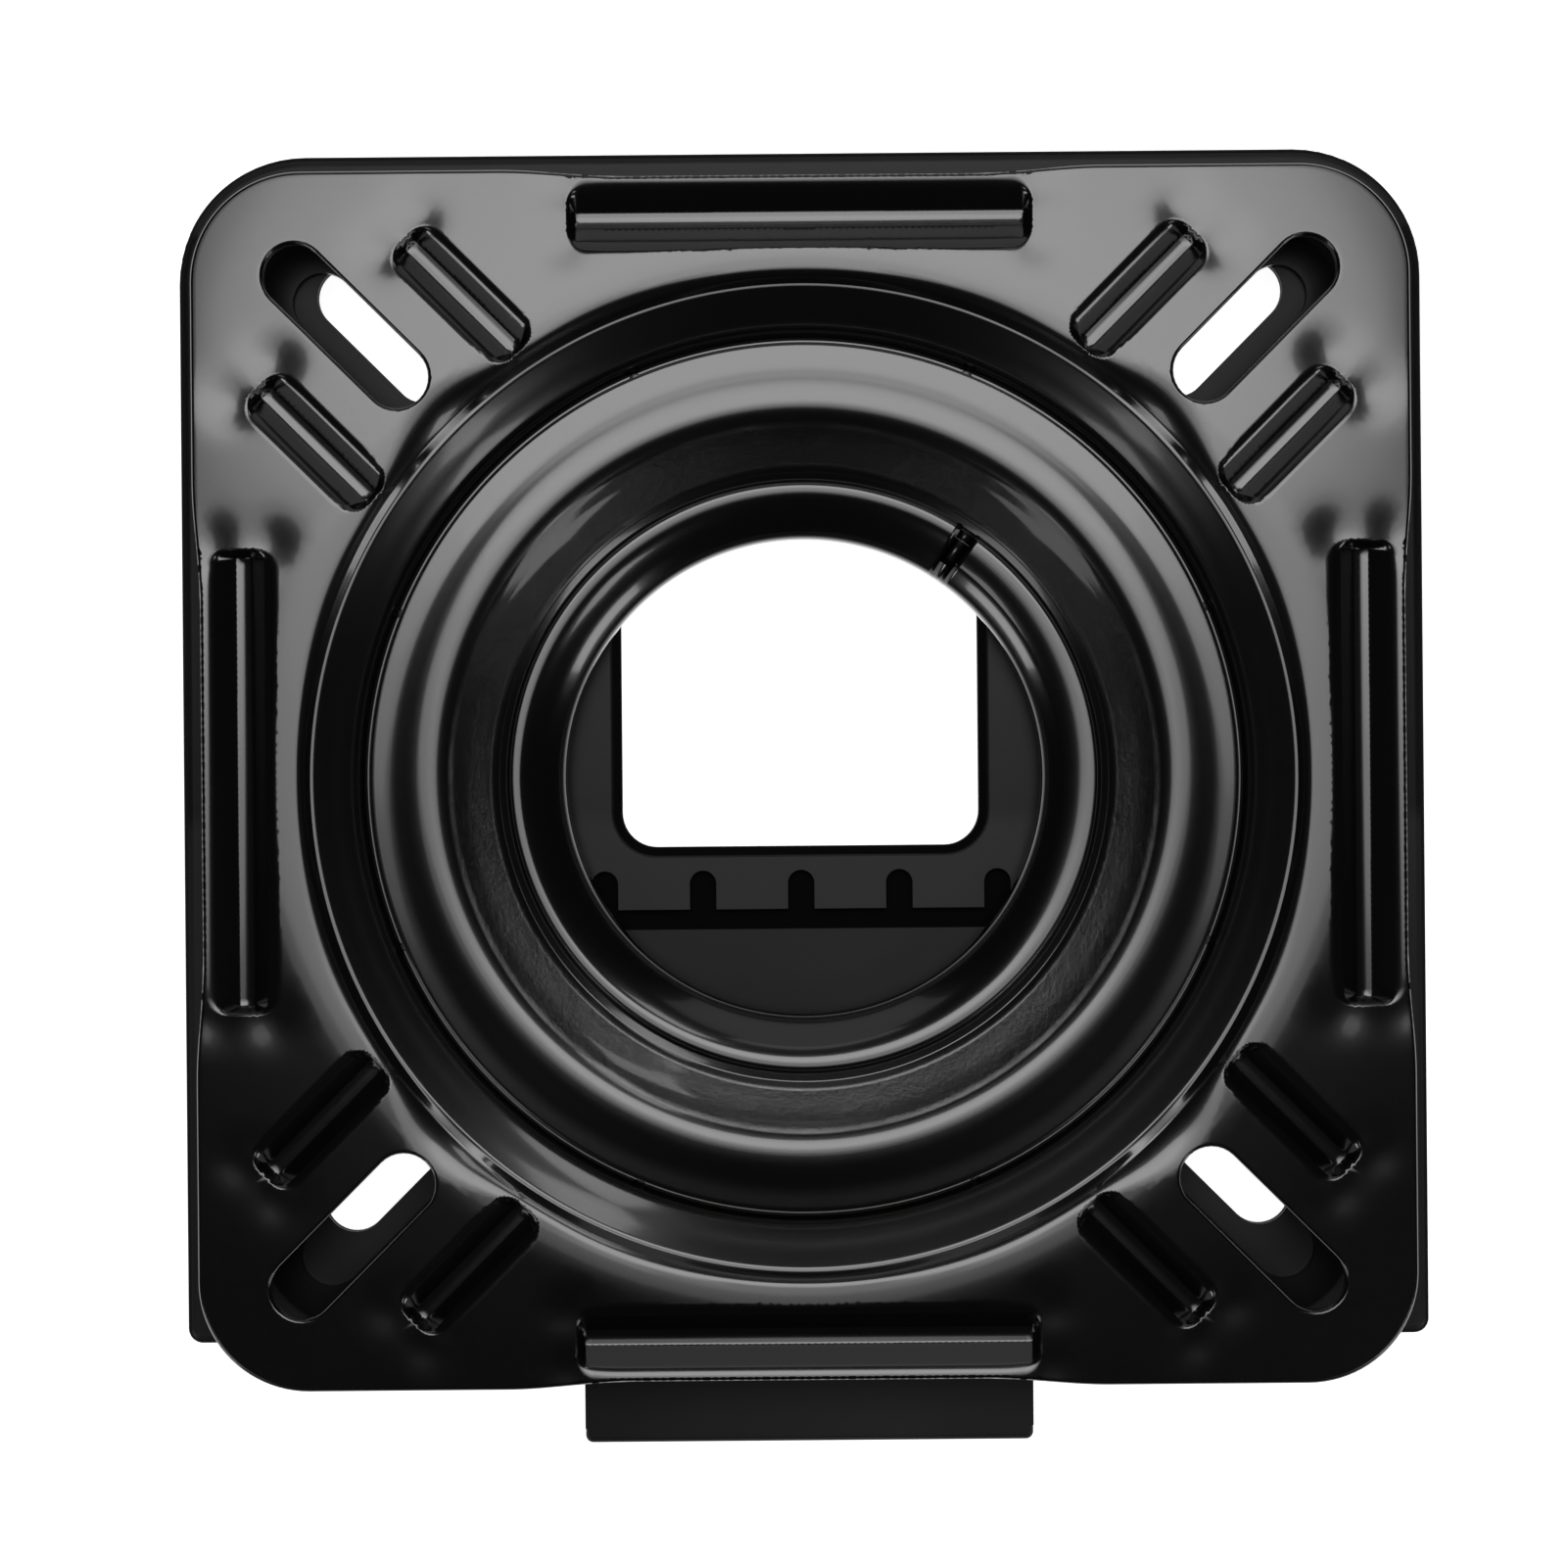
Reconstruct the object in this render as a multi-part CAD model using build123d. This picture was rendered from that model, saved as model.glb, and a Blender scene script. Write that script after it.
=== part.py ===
from build123d import *
from math import cos, sin, radians
import os

os.makedirs("parts", exist_ok=True)

# Driving sizes in mm, with the swivel axis at X = Y = 0 and the deck at Z = 0
SHEET = 3.0
PAN_SHEET = 2.5
RING_SHEET = 2.5
HUB_SHEET = 2.2

TOP_CORNER = 28.5
EDGE_DRAW_IN = 2.2
EDGE_BLEND = 22.0
EDGE_GROOVE_BORDER = 12.5
EDGE_GROOVE_FLOOR = 116.0
EDGE_GROOVE_WALL = 8.0
SIDE_GROOVE_LAND = 19.3
SIDE_GROOVE_SPREAD = 26.8
SIDE_GROOVE_FLOOR = 33.5
SIDE_GROOVE_WALL = 6.5
GROOVE_FLOOR_WIDTH = 3.2
GROOVE_DEPTH = 5.2

SLOT_WIDTH = 16.2
SLOT_SPAN = 37.3
SLOT_LAND = 5.9
SLOT_BORDER = 40.0
SLOT_STAGGER = 3.6
PAN_SLOT_SPAN = 28.5
SLOT_SHIFT = 8.0

LOWER_INSET = 11.5
LOWER_CORNER = 25.0

PAN_SIDE_OVER = 9.0
PAN_FRONT_INSET = 6.5
PAN_REAR_OVER = 9.5
PAN_HEIGHT = 25.0
PAN_REAR_CORNER = 34.0
PAN_FRONT_CORNER = 4.0
PAN_BEND = 3.0
FOOT_WIDTH = 14.5

CABLE_HALF_WIDTH = 50.6
CABLE_FRONT = 21.7
CABLE_REAR = 80.0
CABLE_CORNER = 12.0
CABLE_COLLAR = 4.0
CABLE_LIP = 2.7
CABLE_SIDE = -1.0

CHANNEL_HALF_WIDTH = 64.0
CHANNEL_REAR = 35.6
CHANNEL_DEPTH = 3.6
NOTCH_PITCH = 26.25
NOTCH_WIDTH = 7.1
NOTCH_REAR = 25.2

BALL_D = 6.35
RACE_OUT = 41.5
BALL_COUNT = 20
RACE_RISE = 6.0
RECESS = 9.0
FIT = 0.075

HUB_R = 62.5
SEAM_ANGLE = 56.0
SEAM_WIDTH = 4.0

LOCK_NOTCHES = 12
LOCK_TRAVEL = 5.0
TOOTH_WIDTH = 10.0
TOOTH_DEPTH = 5.0
TOOTH_FOOT = 11.0
GUIDE_ROOM = 4.0
SLIDE_SHEET = 3.0
SLIDE_REACH = 27.4
SKIRT_HEIGHT = 11.5
LEAF_LENGTH = 44.4
LEAF_WIDTH = 12.0
LEAF_SHEET = 0.8
LEAF_SET_BACK = 26.0
RIVET_INSET = 11.0
RIVET_SPREAD = 60.0
GAP = 0.3

# Levels that follow from them
PAN_TOP = PAN_HEIGHT
PLATE_TOP = PAN_TOP + SHEET
RACE_TOP = PLATE_TOP + RACE_RISE
RACE_GAP = BALL_D - 0.35
BALL_Z = RACE_TOP + RACE_GAP / 2
FLANGE_LOW = RACE_TOP + RACE_GAP
FLANGE_TOP = FLANGE_LOW + SHEET
TOP_Z = FLANGE_TOP + RECESS
TOP_LOW = TOP_Z - SHEET
RING_TOP = TOP_Z - 0.5
RING_LOW = RING_TOP - RING_SHEET
SEAT_LOW = FLANGE_LOW + 0.5
SEAT_TOP = SEAT_LOW + RING_SHEET
CHANNEL_TOP = PAN_TOP - CHANNEL_DEPTH
CHANNEL_LOW = CHANNEL_TOP - PAN_SHEET
SLIDE_LOW = CHANNEL_TOP + GAP
SLIDE_TOP = SLIDE_LOW + SLIDE_SHEET

# Radii that follow from them
BALL_CIRCLE = HUB_R + RACE_OUT
FLANGE_BORE = BALL_CIRCLE - 10.0
SPACER_R = FLANGE_BORE - 6.0
SPACER_HOLE = HUB_R + 7.5
RING_HOLE = HUB_R + 11.5
LIP_R = HUB_R + 14.0
HUB_OUT = HUB_R + HUB_SHEET
PLATE_HOLE = HUB_OUT + 0.5
RACE_EDGE = BALL_CIRCLE + 8.0
RACE_FOOT = BALL_CIRCLE + 14.5
FLANGE_FLAT = BALL_CIRCLE + 11.0
CREASE_R = BALL_CIRCLE + 23.5
RIM_R = CREASE_R + 6.0
RING_OUT = BALL_CIRCLE + 8.4
LOCK_IN = BALL_CIRCLE + 5.0
LOCK_OUT = BALL_CIRCLE + 17.0
LOCK_RIVET_R = BALL_CIRCLE + 8.4

# Places that follow from them
DIAGONAL = 2**0.5
SLOT_REACH = (SLOT_SPAN + SLOT_WIDTH) / 2
TOP_SLOT_MIDDLE = (RIM_R + SLOT_LAND + SLOT_REACH) / DIAGONAL
LOWER_SLOT_MIDDLE = TOP_SLOT_MIDDLE - SLOT_STAGGER
PAN_SLOT_MIDDLE = LOWER_SLOT_MIDDLE - (SLOT_SPAN - PAN_SLOT_SPAN) / 2 / DIAGONAL
TOP_HALF = TOP_SLOT_MIDDLE + SLOT_BORDER
TOP_SIDE = 2 * TOP_HALF
EDGE_GROOVE_OUT = TOP_HALF - EDGE_GROOVE_BORDER
SIDE_GROOVE_OUT = RIM_R + SIDE_GROOVE_LAND
LOWER_SIDE = TOP_SIDE - 2 * LOWER_INSET
PAN_HALF_WIDTH = TOP_HALF + PAN_SIDE_OVER
PAN_FRONT = TOP_HALF - PAN_FRONT_INSET
PAN_REAR = TOP_HALF + PAN_REAR_OVER
TOOTH_Y = LOCK_OUT + 0.6
TOOTH_RIVET_Y = -TOOTH_Y - TOOTH_DEPTH - 0.55 * TOOTH_FOOT
TOOTH_RIVET_X = 0.55 * TOOTH_WIDTH
SLIDE_HALF_WIDTH = CHANNEL_HALF_WIDTH - GUIDE_ROOM
SLIDE_FRONT = PAN_FRONT + SLIDE_REACH
SLIDE_REAR = CHANNEL_REAR + LOCK_TRAVEL + 0.4
RIVET_OUT = LOWER_SIDE / 2 - RIVET_INSET
RIVET_BESIDE = CHANNEL_HALF_WIDTH + 16.0
RIVET_SPOTS = []
for side in (-1, 1):
    for end in (-1, 1):
        RIVET_SPOTS.append((side * RIVET_OUT, end * RIVET_SPREAD))
        RIVET_SPOTS.append((side * RIVET_BESIDE, end * RIVET_OUT))
LEAF_TIP = -CHANNEL_REAR - LEAF_SET_BACK
LEAF_ROOT = LEAF_TIP - LEAF_LENGTH
LEAF_RIVETS = [(0, LEAF_TIP - 0.89 * LEAF_LENGTH), (0, LEAF_TIP - 0.68 * LEAF_LENGTH)]


def ring(points):
    """Full turn about the swivel axis of a closed profile in radius and height."""
    outline = make_face(Polyline(*points, close=True))
    return revolve(Plane.XZ * outline, Axis.Z)


def band(inner, outer, low, high):
    """Plain ring between two radii and two heights."""
    return ring([(inner, low), (outer, low), (outer, high), (inner, high)])


def block(x0, x1, y0, y1, z0, z1):
    """Box between three pairs of limits."""
    middle = Pos((x0 + x1) / 2, (y0 + y1) / 2, (z0 + z1) / 2)
    return middle * Box(x1 - x0, y1 - y0, z1 - z0)


def pin(x, y, low, high, radius):
    """Upright cylinder between two heights."""
    return Pos(x, y, (low + high) / 2) * Cylinder(radius, high - low)


def spots(count, radius, first):
    """Points spread evenly round the swivel axis."""
    turns = [radians(first + 360.0 * i / count) for i in range(count)]
    return [(radius * cos(a), radius * sin(a)) for a in turns]


def slot_cutters(middle, shift, span, low, high):
    """Four slots that run along the diagonals."""
    made = []
    for side in (-1, 1):
        for end in (-1, 1):
            shape = Rot(0, 0, 45 * side * end) * SlotCenterToCenter(span, SLOT_WIDTH)
            spot = Pos(side * middle, end * middle + shift, low)
            made.append(extrude(spot * shape, high - low))
    return made


def tapered(floor, width, top_grow, low, high):
    """Slot shape that widens from its floor to its mouth."""
    small = Pos(0, 0, low) * SlotOverall(floor + width, width)
    wide = width + 2 * top_grow
    large = Pos(0, 0, high) * SlotOverall(floor + wide, wide)
    return loft([small, large])


def groove(floor, wall):
    """Hollow of one pressed groove, with its floor along X."""
    slope = wall / GROOVE_DEPTH
    over = 0.4
    low = TOP_Z - GROOVE_DEPTH
    return tapered(floor, GROOVE_FLOOR_WIDTH, wall + slope * over, low, TOP_Z + over)


def tray(floor, wall):
    """Sheet under one pressed groove, before its hollow is cut."""
    slope = wall / GROOVE_DEPTH
    side = SHEET * (1 + slope * slope) ** 0.5
    over = 0.4
    low = TOP_LOW - GROOVE_DEPTH
    width = GROOVE_FLOOR_WIDTH + 2 * (side - slope * SHEET)
    return tapered(floor, width, wall + slope * over, low, TOP_LOW + over)


def groove_places():
    """Where each groove lies, with its floor length and wall width."""
    made = []
    for turn in (0, 90, 180, 270):
        edge = Rot(0, 0, turn) * Pos(0, EDGE_GROOVE_OUT, 0)
        made.append((edge, EDGE_GROOVE_FLOOR, EDGE_GROOVE_WALL))
        for side in (-1, 1):
            beside = Rot(0, 0, turn + 45) * Pos(SIDE_GROOVE_OUT, side * SIDE_GROOVE_SPREAD, 0)
            made.append((beside, SIDE_GROOVE_FLOOR, SIDE_GROOVE_WALL))
    return made


def top_outline():
    """Rounded square with its sides drawn in beside the edge grooves."""
    half = TOP_HALF
    outline = RectangleRounded(TOP_SIDE, TOP_SIDE, TOP_CORNER)
    reach = EDGE_GROOVE_FLOOR / 2 + 4
    corners = [
        (-reach - EDGE_BLEND, half + 1),
        (-reach - EDGE_BLEND, half),
        (-reach, half - EDGE_DRAW_IN),
        (reach, half - EDGE_DRAW_IN),
        (reach + EDGE_BLEND, half),
        (reach + EDGE_BLEND, half + 1),
    ]
    for turn in (0, 90, 180, 270):
        outline -= Rot(0, 0, turn) * make_face(Polyline(*corners, close=True))
    return outline


def race_cut():
    """Groove that the balls run in, cut from both races."""
    return Pos(0, 0, BALL_Z) * Torus(BALL_CIRCLE, BALL_D / 2 + FIT)


def top_plate():
    """Turning seat plate with its grooves, slots and stepped centre."""
    slab = extrude(Pos(0, 0, TOP_LOW) * top_outline(), SHEET)
    slab = chamfer(slab.edges().group_by(Axis.Z)[-1], 0.5)
    skirt = extrude(Pos(0, 0, TOP_LOW - GROOVE_DEPTH - 1) * top_outline(), GROOVE_DEPTH + 1.5)
    plate = slab
    for place, floor, wall in groove_places():
        plate += skirt & (place * tray(floor, wall))
    for place, floor, wall in groove_places():
        plate -= place * groove(floor, wall)
    plate -= pin(0, 0, FLANGE_LOW - 5, TOP_Z + 5, RIM_R)
    step = [
        (FLANGE_BORE, FLANGE_LOW),
        (FLANGE_BORE, FLANGE_TOP),
        (FLANGE_FLAT, FLANGE_TOP),
        (CREASE_R, TOP_Z - 4.5),
        (CREASE_R + 1.8, TOP_Z - 2.8),
        (CREASE_R + 3.4, TOP_Z - 0.6),
        (RIM_R, TOP_Z),
        (RIM_R, TOP_LOW),
        (CREASE_R + 4.2, TOP_LOW - 2.2),
        (CREASE_R + 1.9, TOP_LOW - 4.3),
        (FLANGE_FLAT + 0.6, FLANGE_LOW),
    ]
    plate += ring(step)
    plate -= slot_cutters(TOP_SLOT_MIDDLE, 0, SLOT_SPAN, TOP_LOW - 8, TOP_Z + 1)
    plate -= race_cut()
    for x, y in spots(8, LOCK_RIVET_R, 22.5):
        plate -= pin(x, y, FLANGE_LOW - 1, FLANGE_TOP + 1, 1.3)
    return plate


def clamp_ring():
    """Fixed dished ring that keeps the top plate's flange down."""
    dish = FLANGE_BORE
    step = RING_HOLE + 5.5
    return ring(
        [
            (RING_HOLE, SEAT_LOW),
            (RING_HOLE, SEAT_TOP),
            (step, SEAT_TOP),
            (step + 0.3, SEAT_TOP + 0.7),
            (step + 1.3, SEAT_TOP + 0.9),
            (step + 1.6, SEAT_TOP + 1.7),
            (dish - 4.0, SEAT_TOP + 3.2),
            (dish - 1.4, SEAT_TOP + 4.5),
            (dish + 0.6, SEAT_TOP + 6.5),
            (dish + 3.4, RING_TOP - 0.6),
            (dish + 6.4, RING_TOP),
            (RING_OUT - 0.4, RING_TOP),
            (RING_OUT, RING_TOP - 0.4),
            (RING_OUT, RING_LOW),
            (dish + 7.0, RING_LOW),
            (dish + 4.6, RING_LOW - 0.5),
            (dish + 2.6, SEAT_TOP + 4.6),
            (dish + 0.2, SEAT_TOP + 2.2),
            (dish - 3.4, SEAT_TOP + 0.7),
            (step + 2.6, SEAT_TOP - 0.8),
            (step + 0.9, SEAT_LOW),
        ]
    )


def hub_sleeve():
    """Flared split eyelet that clamps the ring, spacer and lower plate."""
    body = ring(
        [
            (LIP_R, SEAT_TOP),
            (LIP_R, SEAT_TOP + 1.7),
            (LIP_R - 0.6, SEAT_TOP + HUB_SHEET),
            (LIP_R - 2.9, SEAT_TOP + HUB_SHEET - 0.1),
            (LIP_R - 5.0, SEAT_TOP + 1.3),
            (LIP_R - 7.5, SEAT_TOP - 0.1),
            (HUB_R + 2.1, SEAT_TOP - 3.4),
            (HUB_R + 0.5, SEAT_TOP - 4.7),
            (HUB_R, SEAT_TOP - 5.5),
            (HUB_R, RACE_TOP - SHEET + 2.0),
            (HUB_R + 1.2, RACE_TOP - SHEET - 0.8),
            (HUB_R + 4.0, RACE_TOP - SHEET - HUB_SHEET),
            (HUB_R + 9.5, RACE_TOP - SHEET - HUB_SHEET),
            (HUB_R + 9.5, RACE_TOP - SHEET),
            (HUB_OUT + 0.5, RACE_TOP - SHEET),
            (HUB_OUT, RACE_TOP - SHEET + 0.5),
            (HUB_OUT, SEAT_TOP - 6.4),
            (HUB_OUT + 0.5, SEAT_TOP - 5.6),
            (LIP_R - 6.1, SEAT_TOP - 1.7),
            (LIP_R - 4.1, SEAT_TOP - 0.5),
            (LIP_R - 2.7, SEAT_TOP),
        ]
    )
    seam = block(HUB_R + 3.9, LIP_R + 2, -SEAM_WIDTH / 2, SEAM_WIDTH / 2, SEAT_LOW - 3, SEAT_TOP + 5)
    return body - Rot(0, 0, SEAM_ANGLE) * seam


def hub_spacer():
    """Steel ring between the lower plate and the clamp ring."""
    return band(SPACER_HOLE, SPACER_R, RACE_TOP, SEAT_LOW)


def centre_bush():
    """Nylon ring that centres the top plate's flange."""
    return band(SPACER_R + 0.05, FLANGE_BORE - 0.06, RACE_TOP + 2, FLANGE_TOP - 0.1)


def glide_ring():
    """Nylon ring between the flange and the clamp ring."""
    return band(FLANGE_BORE + 7.1, BALL_CIRCLE + 6, FLANGE_TOP + 0.1, RING_LOW)


def lower_plate():
    """Fixed plate with its raised ball race."""
    outline = RectangleRounded(LOWER_SIDE, LOWER_SIDE, LOWER_CORNER)
    plate = extrude(Pos(0, 0, PAN_TOP) * outline, SHEET)
    plate -= pin(0, 0, PAN_TOP - 1, PLATE_TOP + 1, RACE_FOOT + 1.5)
    plate += ring(
        [
            (PLATE_HOLE, RACE_TOP - SHEET),
            (PLATE_HOLE, RACE_TOP),
            (RACE_EDGE, RACE_TOP),
            (RACE_FOOT, PLATE_TOP),
            (RACE_FOOT + 1.5, PLATE_TOP),
            (RACE_FOOT + 1.5, PAN_TOP),
            (RACE_FOOT - 1.2, PAN_TOP),
            (RACE_EDGE - 1.2, RACE_TOP - SHEET),
        ]
    )
    plate -= slot_cutters(LOWER_SLOT_MIDDLE, 0, SLOT_SPAN, PAN_TOP - 1, PLATE_TOP + 1)
    plate -= race_cut()
    front = TOOTH_Y + TOOTH_DEPTH + TOOTH_FOOT + 1
    rear = TOOTH_Y - LOCK_TRAVEL - 1
    plate -= block(-TOOTH_WIDTH, TOOTH_WIDTH, -front, -rear, PAN_TOP - 1, RACE_TOP + 1)
    for x, y in RIVET_SPOTS:
        plate -= pin(x, y, PAN_TOP - 1, PLATE_TOP + 1, 3.05)
    return plate


def pan_outline(inset):
    """Outline of the pan, moved in by the given amount."""
    wide = PAN_HALF_WIDTH - inset
    front = -PAN_FRONT + inset
    rear = PAN_REAR - inset
    corners = [(-wide, front), (wide, front), (wide, rear), (-wide, rear)]
    face = make_face(Polyline(*corners, close=True))
    face = fillet(face.vertices().sort_by(Axis.Y)[2:], max(PAN_REAR_CORNER - inset, 2))
    return fillet(face.vertices().sort_by(Axis.Y)[:2], max(PAN_FRONT_CORNER - inset, 1))


def cable_outline(grow):
    """Outline of the pan's cable opening, made larger by the given amount."""
    wide = 2 * (CABLE_HALF_WIDTH + grow)
    deep = CABLE_REAR + CABLE_FRONT + 2 * grow
    outline = RectangleRounded(wide, deep, CABLE_CORNER + grow)
    return Pos(CABLE_SIDE, (CABLE_REAR - CABLE_FRONT) / 2, 0) * outline


def cable_cutter():
    """Cutter of the cable opening, with its top edge leaning in to the collar."""
    lip = Pos(0, 0, PAN_TOP - CABLE_LIP) * cable_outline(-CABLE_LIP)
    lean = loft([lip, Pos(0, 0, PAN_TOP) * cable_outline(0)])
    return lean + extrude(Pos(0, 0, CHANNEL_LOW - 5) * cable_outline(-CABLE_LIP), PAN_HEIGHT)


def pan_shell():
    """Folded sheet pan with its foot flange."""
    shell = fillet(extrude(pan_outline(0), PAN_HEIGHT).edges().group_by(Axis.Z)[-1], PAN_BEND)
    hollow = extrude(pan_outline(PAN_SHEET), PAN_HEIGHT - 2 * PAN_SHEET)
    shell -= Pos(0, 0, PAN_SHEET) * hollow
    shell -= Pos(0, 0, -1) * extrude(pan_outline(FOOT_WIDTH), PAN_SHEET + 2)
    return shell


def base_pan():
    """Folded base with cable opening, slots and slide channel."""
    pan = pan_shell()
    collar = Pos(0, 0, PAN_TOP - PAN_SHEET - CABLE_COLLAR) * cable_outline(0.6)
    pan += extrude(collar, CABLE_COLLAR + 1)
    outer = CHANNEL_HALF_WIDTH + PAN_SHEET
    rear = -CHANNEL_REAR + PAN_SHEET
    pan += block(-outer, outer, -PAN_FRONT + PAN_BEND, rear, CHANNEL_LOW, PAN_TOP)
    wide = CHANNEL_HALF_WIDTH
    pan -= block(-wide, wide, -PAN_FRONT - 1, -CHANNEL_REAR, CHANNEL_TOP, PAN_TOP + 1)
    pan -= cable_cutter()
    for i in range(-2, 3):
        x = CABLE_SIDE + i * NOTCH_PITCH
        half = NOTCH_WIDTH / 2
        pad = half + PAN_SHEET
        front = -CHANNEL_REAR
        pan += block(x - pad, x + pad, front, -NOTCH_REAR + PAN_SHEET, CHANNEL_LOW, PAN_TOP - 0.5)
        pan -= pin(x, -NOTCH_REAR - half, CHANNEL_TOP, PAN_TOP + 1, half)
        pan -= block(x - half, x + half, front, -NOTCH_REAR - half, CHANNEL_TOP, PAN_TOP + 1)
    low = PAN_TOP - PAN_SHEET - 2
    pan -= slot_cutters(PAN_SLOT_MIDDLE, SLOT_SHIFT, PAN_SLOT_SPAN, low, PAN_TOP + 1)
    for x, y in RIVET_SPOTS:
        pan -= pin(x, y, PAN_TOP - PAN_SHEET - 1, PAN_TOP + 1, 3.05)
    wide = LEAF_WIDTH / 2 + 2
    front = LEAF_TIP - 0.415 * LEAF_LENGTH
    pan -= block(-wide, wide, front, LEAF_TIP + 3.6, CHANNEL_LOW - 1, CHANNEL_TOP + 1)
    for x, y in LEAF_RIVETS:
        pan -= pin(x, y, CHANNEL_LOW - 1, CHANNEL_TOP + 1, 1.55)
    return pan


def lock_ring():
    """Notched ring under the top plate that the tooth enters."""
    made = band(LOCK_IN, LOCK_OUT, FLANGE_LOW - SHEET, FLANGE_LOW)
    half = TOOTH_WIDTH / 2 + GAP
    for i in range(LOCK_NOTCHES):
        cutter = block(LOCK_OUT - 5.5, LOCK_OUT + 2, -half, half, FLANGE_LOW - SHEET - 1, FLANGE_LOW + 1)
        made -= Rot(0, 0, 360.0 * i / LOCK_NOTCHES) * cutter
    for x, y in spots(8, LOCK_RIVET_R, 22.5):
        made -= pin(x, y, FLANGE_LOW - SHEET - 1, FLANGE_LOW + 1, 1.3)
    return made


def lock_slide():
    """Flat slide with a turned-down finger tab at the front."""
    wide = SLIDE_HALF_WIDTH
    plate = block(-wide, wide, -SLIDE_FRONT + 4, -SLIDE_REAR, SLIDE_LOW, SLIDE_TOP)
    root = -PAN_FRONT - LOCK_TRAVEL - 1
    low = SLIDE_TOP - SKIRT_HEIGHT
    hood = block(-wide, wide, -SLIDE_FRONT, root, low, SLIDE_TOP)
    hood = fillet(hood.edges().filter_by(Axis.Z).sort_by(Axis.Y)[:2], 2.0)
    rims = hood.edges().group_by(Axis.Z)[-1]
    hood = fillet(rims.sort_by(Axis.Y)[:-1], 1.8)
    inner = wide - 2.6
    hood -= block(-inner, inner, -SLIDE_FRONT + 2.6, root + 1, low - 1, SLIDE_LOW)
    made = plate + hood
    for x in (-TOOTH_RIVET_X, TOOTH_RIVET_X):
        made -= pin(x, TOOTH_RIVET_Y, SLIDE_LOW - 1, SLIDE_TOP + 1, 1.55)
    return made


def lock_tooth():
    """Tooth on its foot, in the lower plate's window."""
    half = TOOTH_WIDTH / 2
    leg = block(-half, half, -TOOTH_Y - TOOTH_DEPTH, -TOOTH_Y, SLIDE_TOP, FLANGE_LOW - 0.3)
    leg = chamfer(leg.edges().group_by(Axis.Z)[-1], 0.6)
    foot = 0.9 * TOOTH_WIDTH
    front = -TOOTH_Y - TOOTH_DEPTH - TOOTH_FOOT
    made = leg + block(-foot, foot, front, -TOOTH_Y, SLIDE_TOP, SLIDE_TOP + 3)
    for x in (-TOOTH_RIVET_X, TOOTH_RIVET_X):
        made -= pin(x, TOOTH_RIVET_Y, SLIDE_TOP - 1, SLIDE_TOP + 4, 1.55)
    return made


def slide_guide(side):
    """Nylon strip beside the slide."""
    inner = side * (SLIDE_HALF_WIDTH + GAP)
    outer = side * (CHANNEL_HALF_WIDTH - 0.1)
    rear = -CHANNEL_REAR - 4
    front = -PAN_FRONT + PAN_BEND
    return block(min(inner, outer), max(inner, outer), front, rear, CHANNEL_TOP, PAN_TOP - 0.1)


def friction_leaf():
    """Bent spring leaf under the channel that presses up on the slide."""
    low = CHANNEL_LOW - LEAF_SHEET
    top = CHANNEL_TOP + 0.1
    along = [0.009, 0.126, 0.133, 0.2, 0.207, 0.347, 0.356]
    y = [LEAF_TIP - part * LEAF_LENGTH for part in along]
    side = [
        (LEAF_ROOT, low),
        (y[5], low),
        (y[3], top - LEAF_SHEET),
        (y[2], top - LEAF_SHEET),
        (y[0], low + 0.4),
        (LEAF_TIP, low + 1.1),
        (y[1], top),
        (y[4], top),
        (y[6], CHANNEL_LOW),
        (LEAF_ROOT, CHANNEL_LOW),
    ]
    outline = make_face(Polyline(*side, close=True))
    made = extrude(Plane.YZ * outline, LEAF_WIDTH / 2, both=True)
    for x, y in LEAF_RIVETS:
        made -= pin(x, y, low - 1, CHANNEL_LOW + 1, 1.55)
    return made


def rivet(x, y, low, high, radius, low_head, high_head):
    """Rivet between two heights, each head given as radius and height."""
    made = pin(x, y, low, high, radius)
    if low_head[0] > radius:
        made += pin(x, y, low - low_head[1], low, low_head[0])
    if high_head[0] > radius:
        dome = pin(x, y, high, high + high_head[1], high_head[0])
        made += chamfer(dome.edges().group_by(Axis.Z)[-1], high_head[1] * 0.6)
    return made


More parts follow.
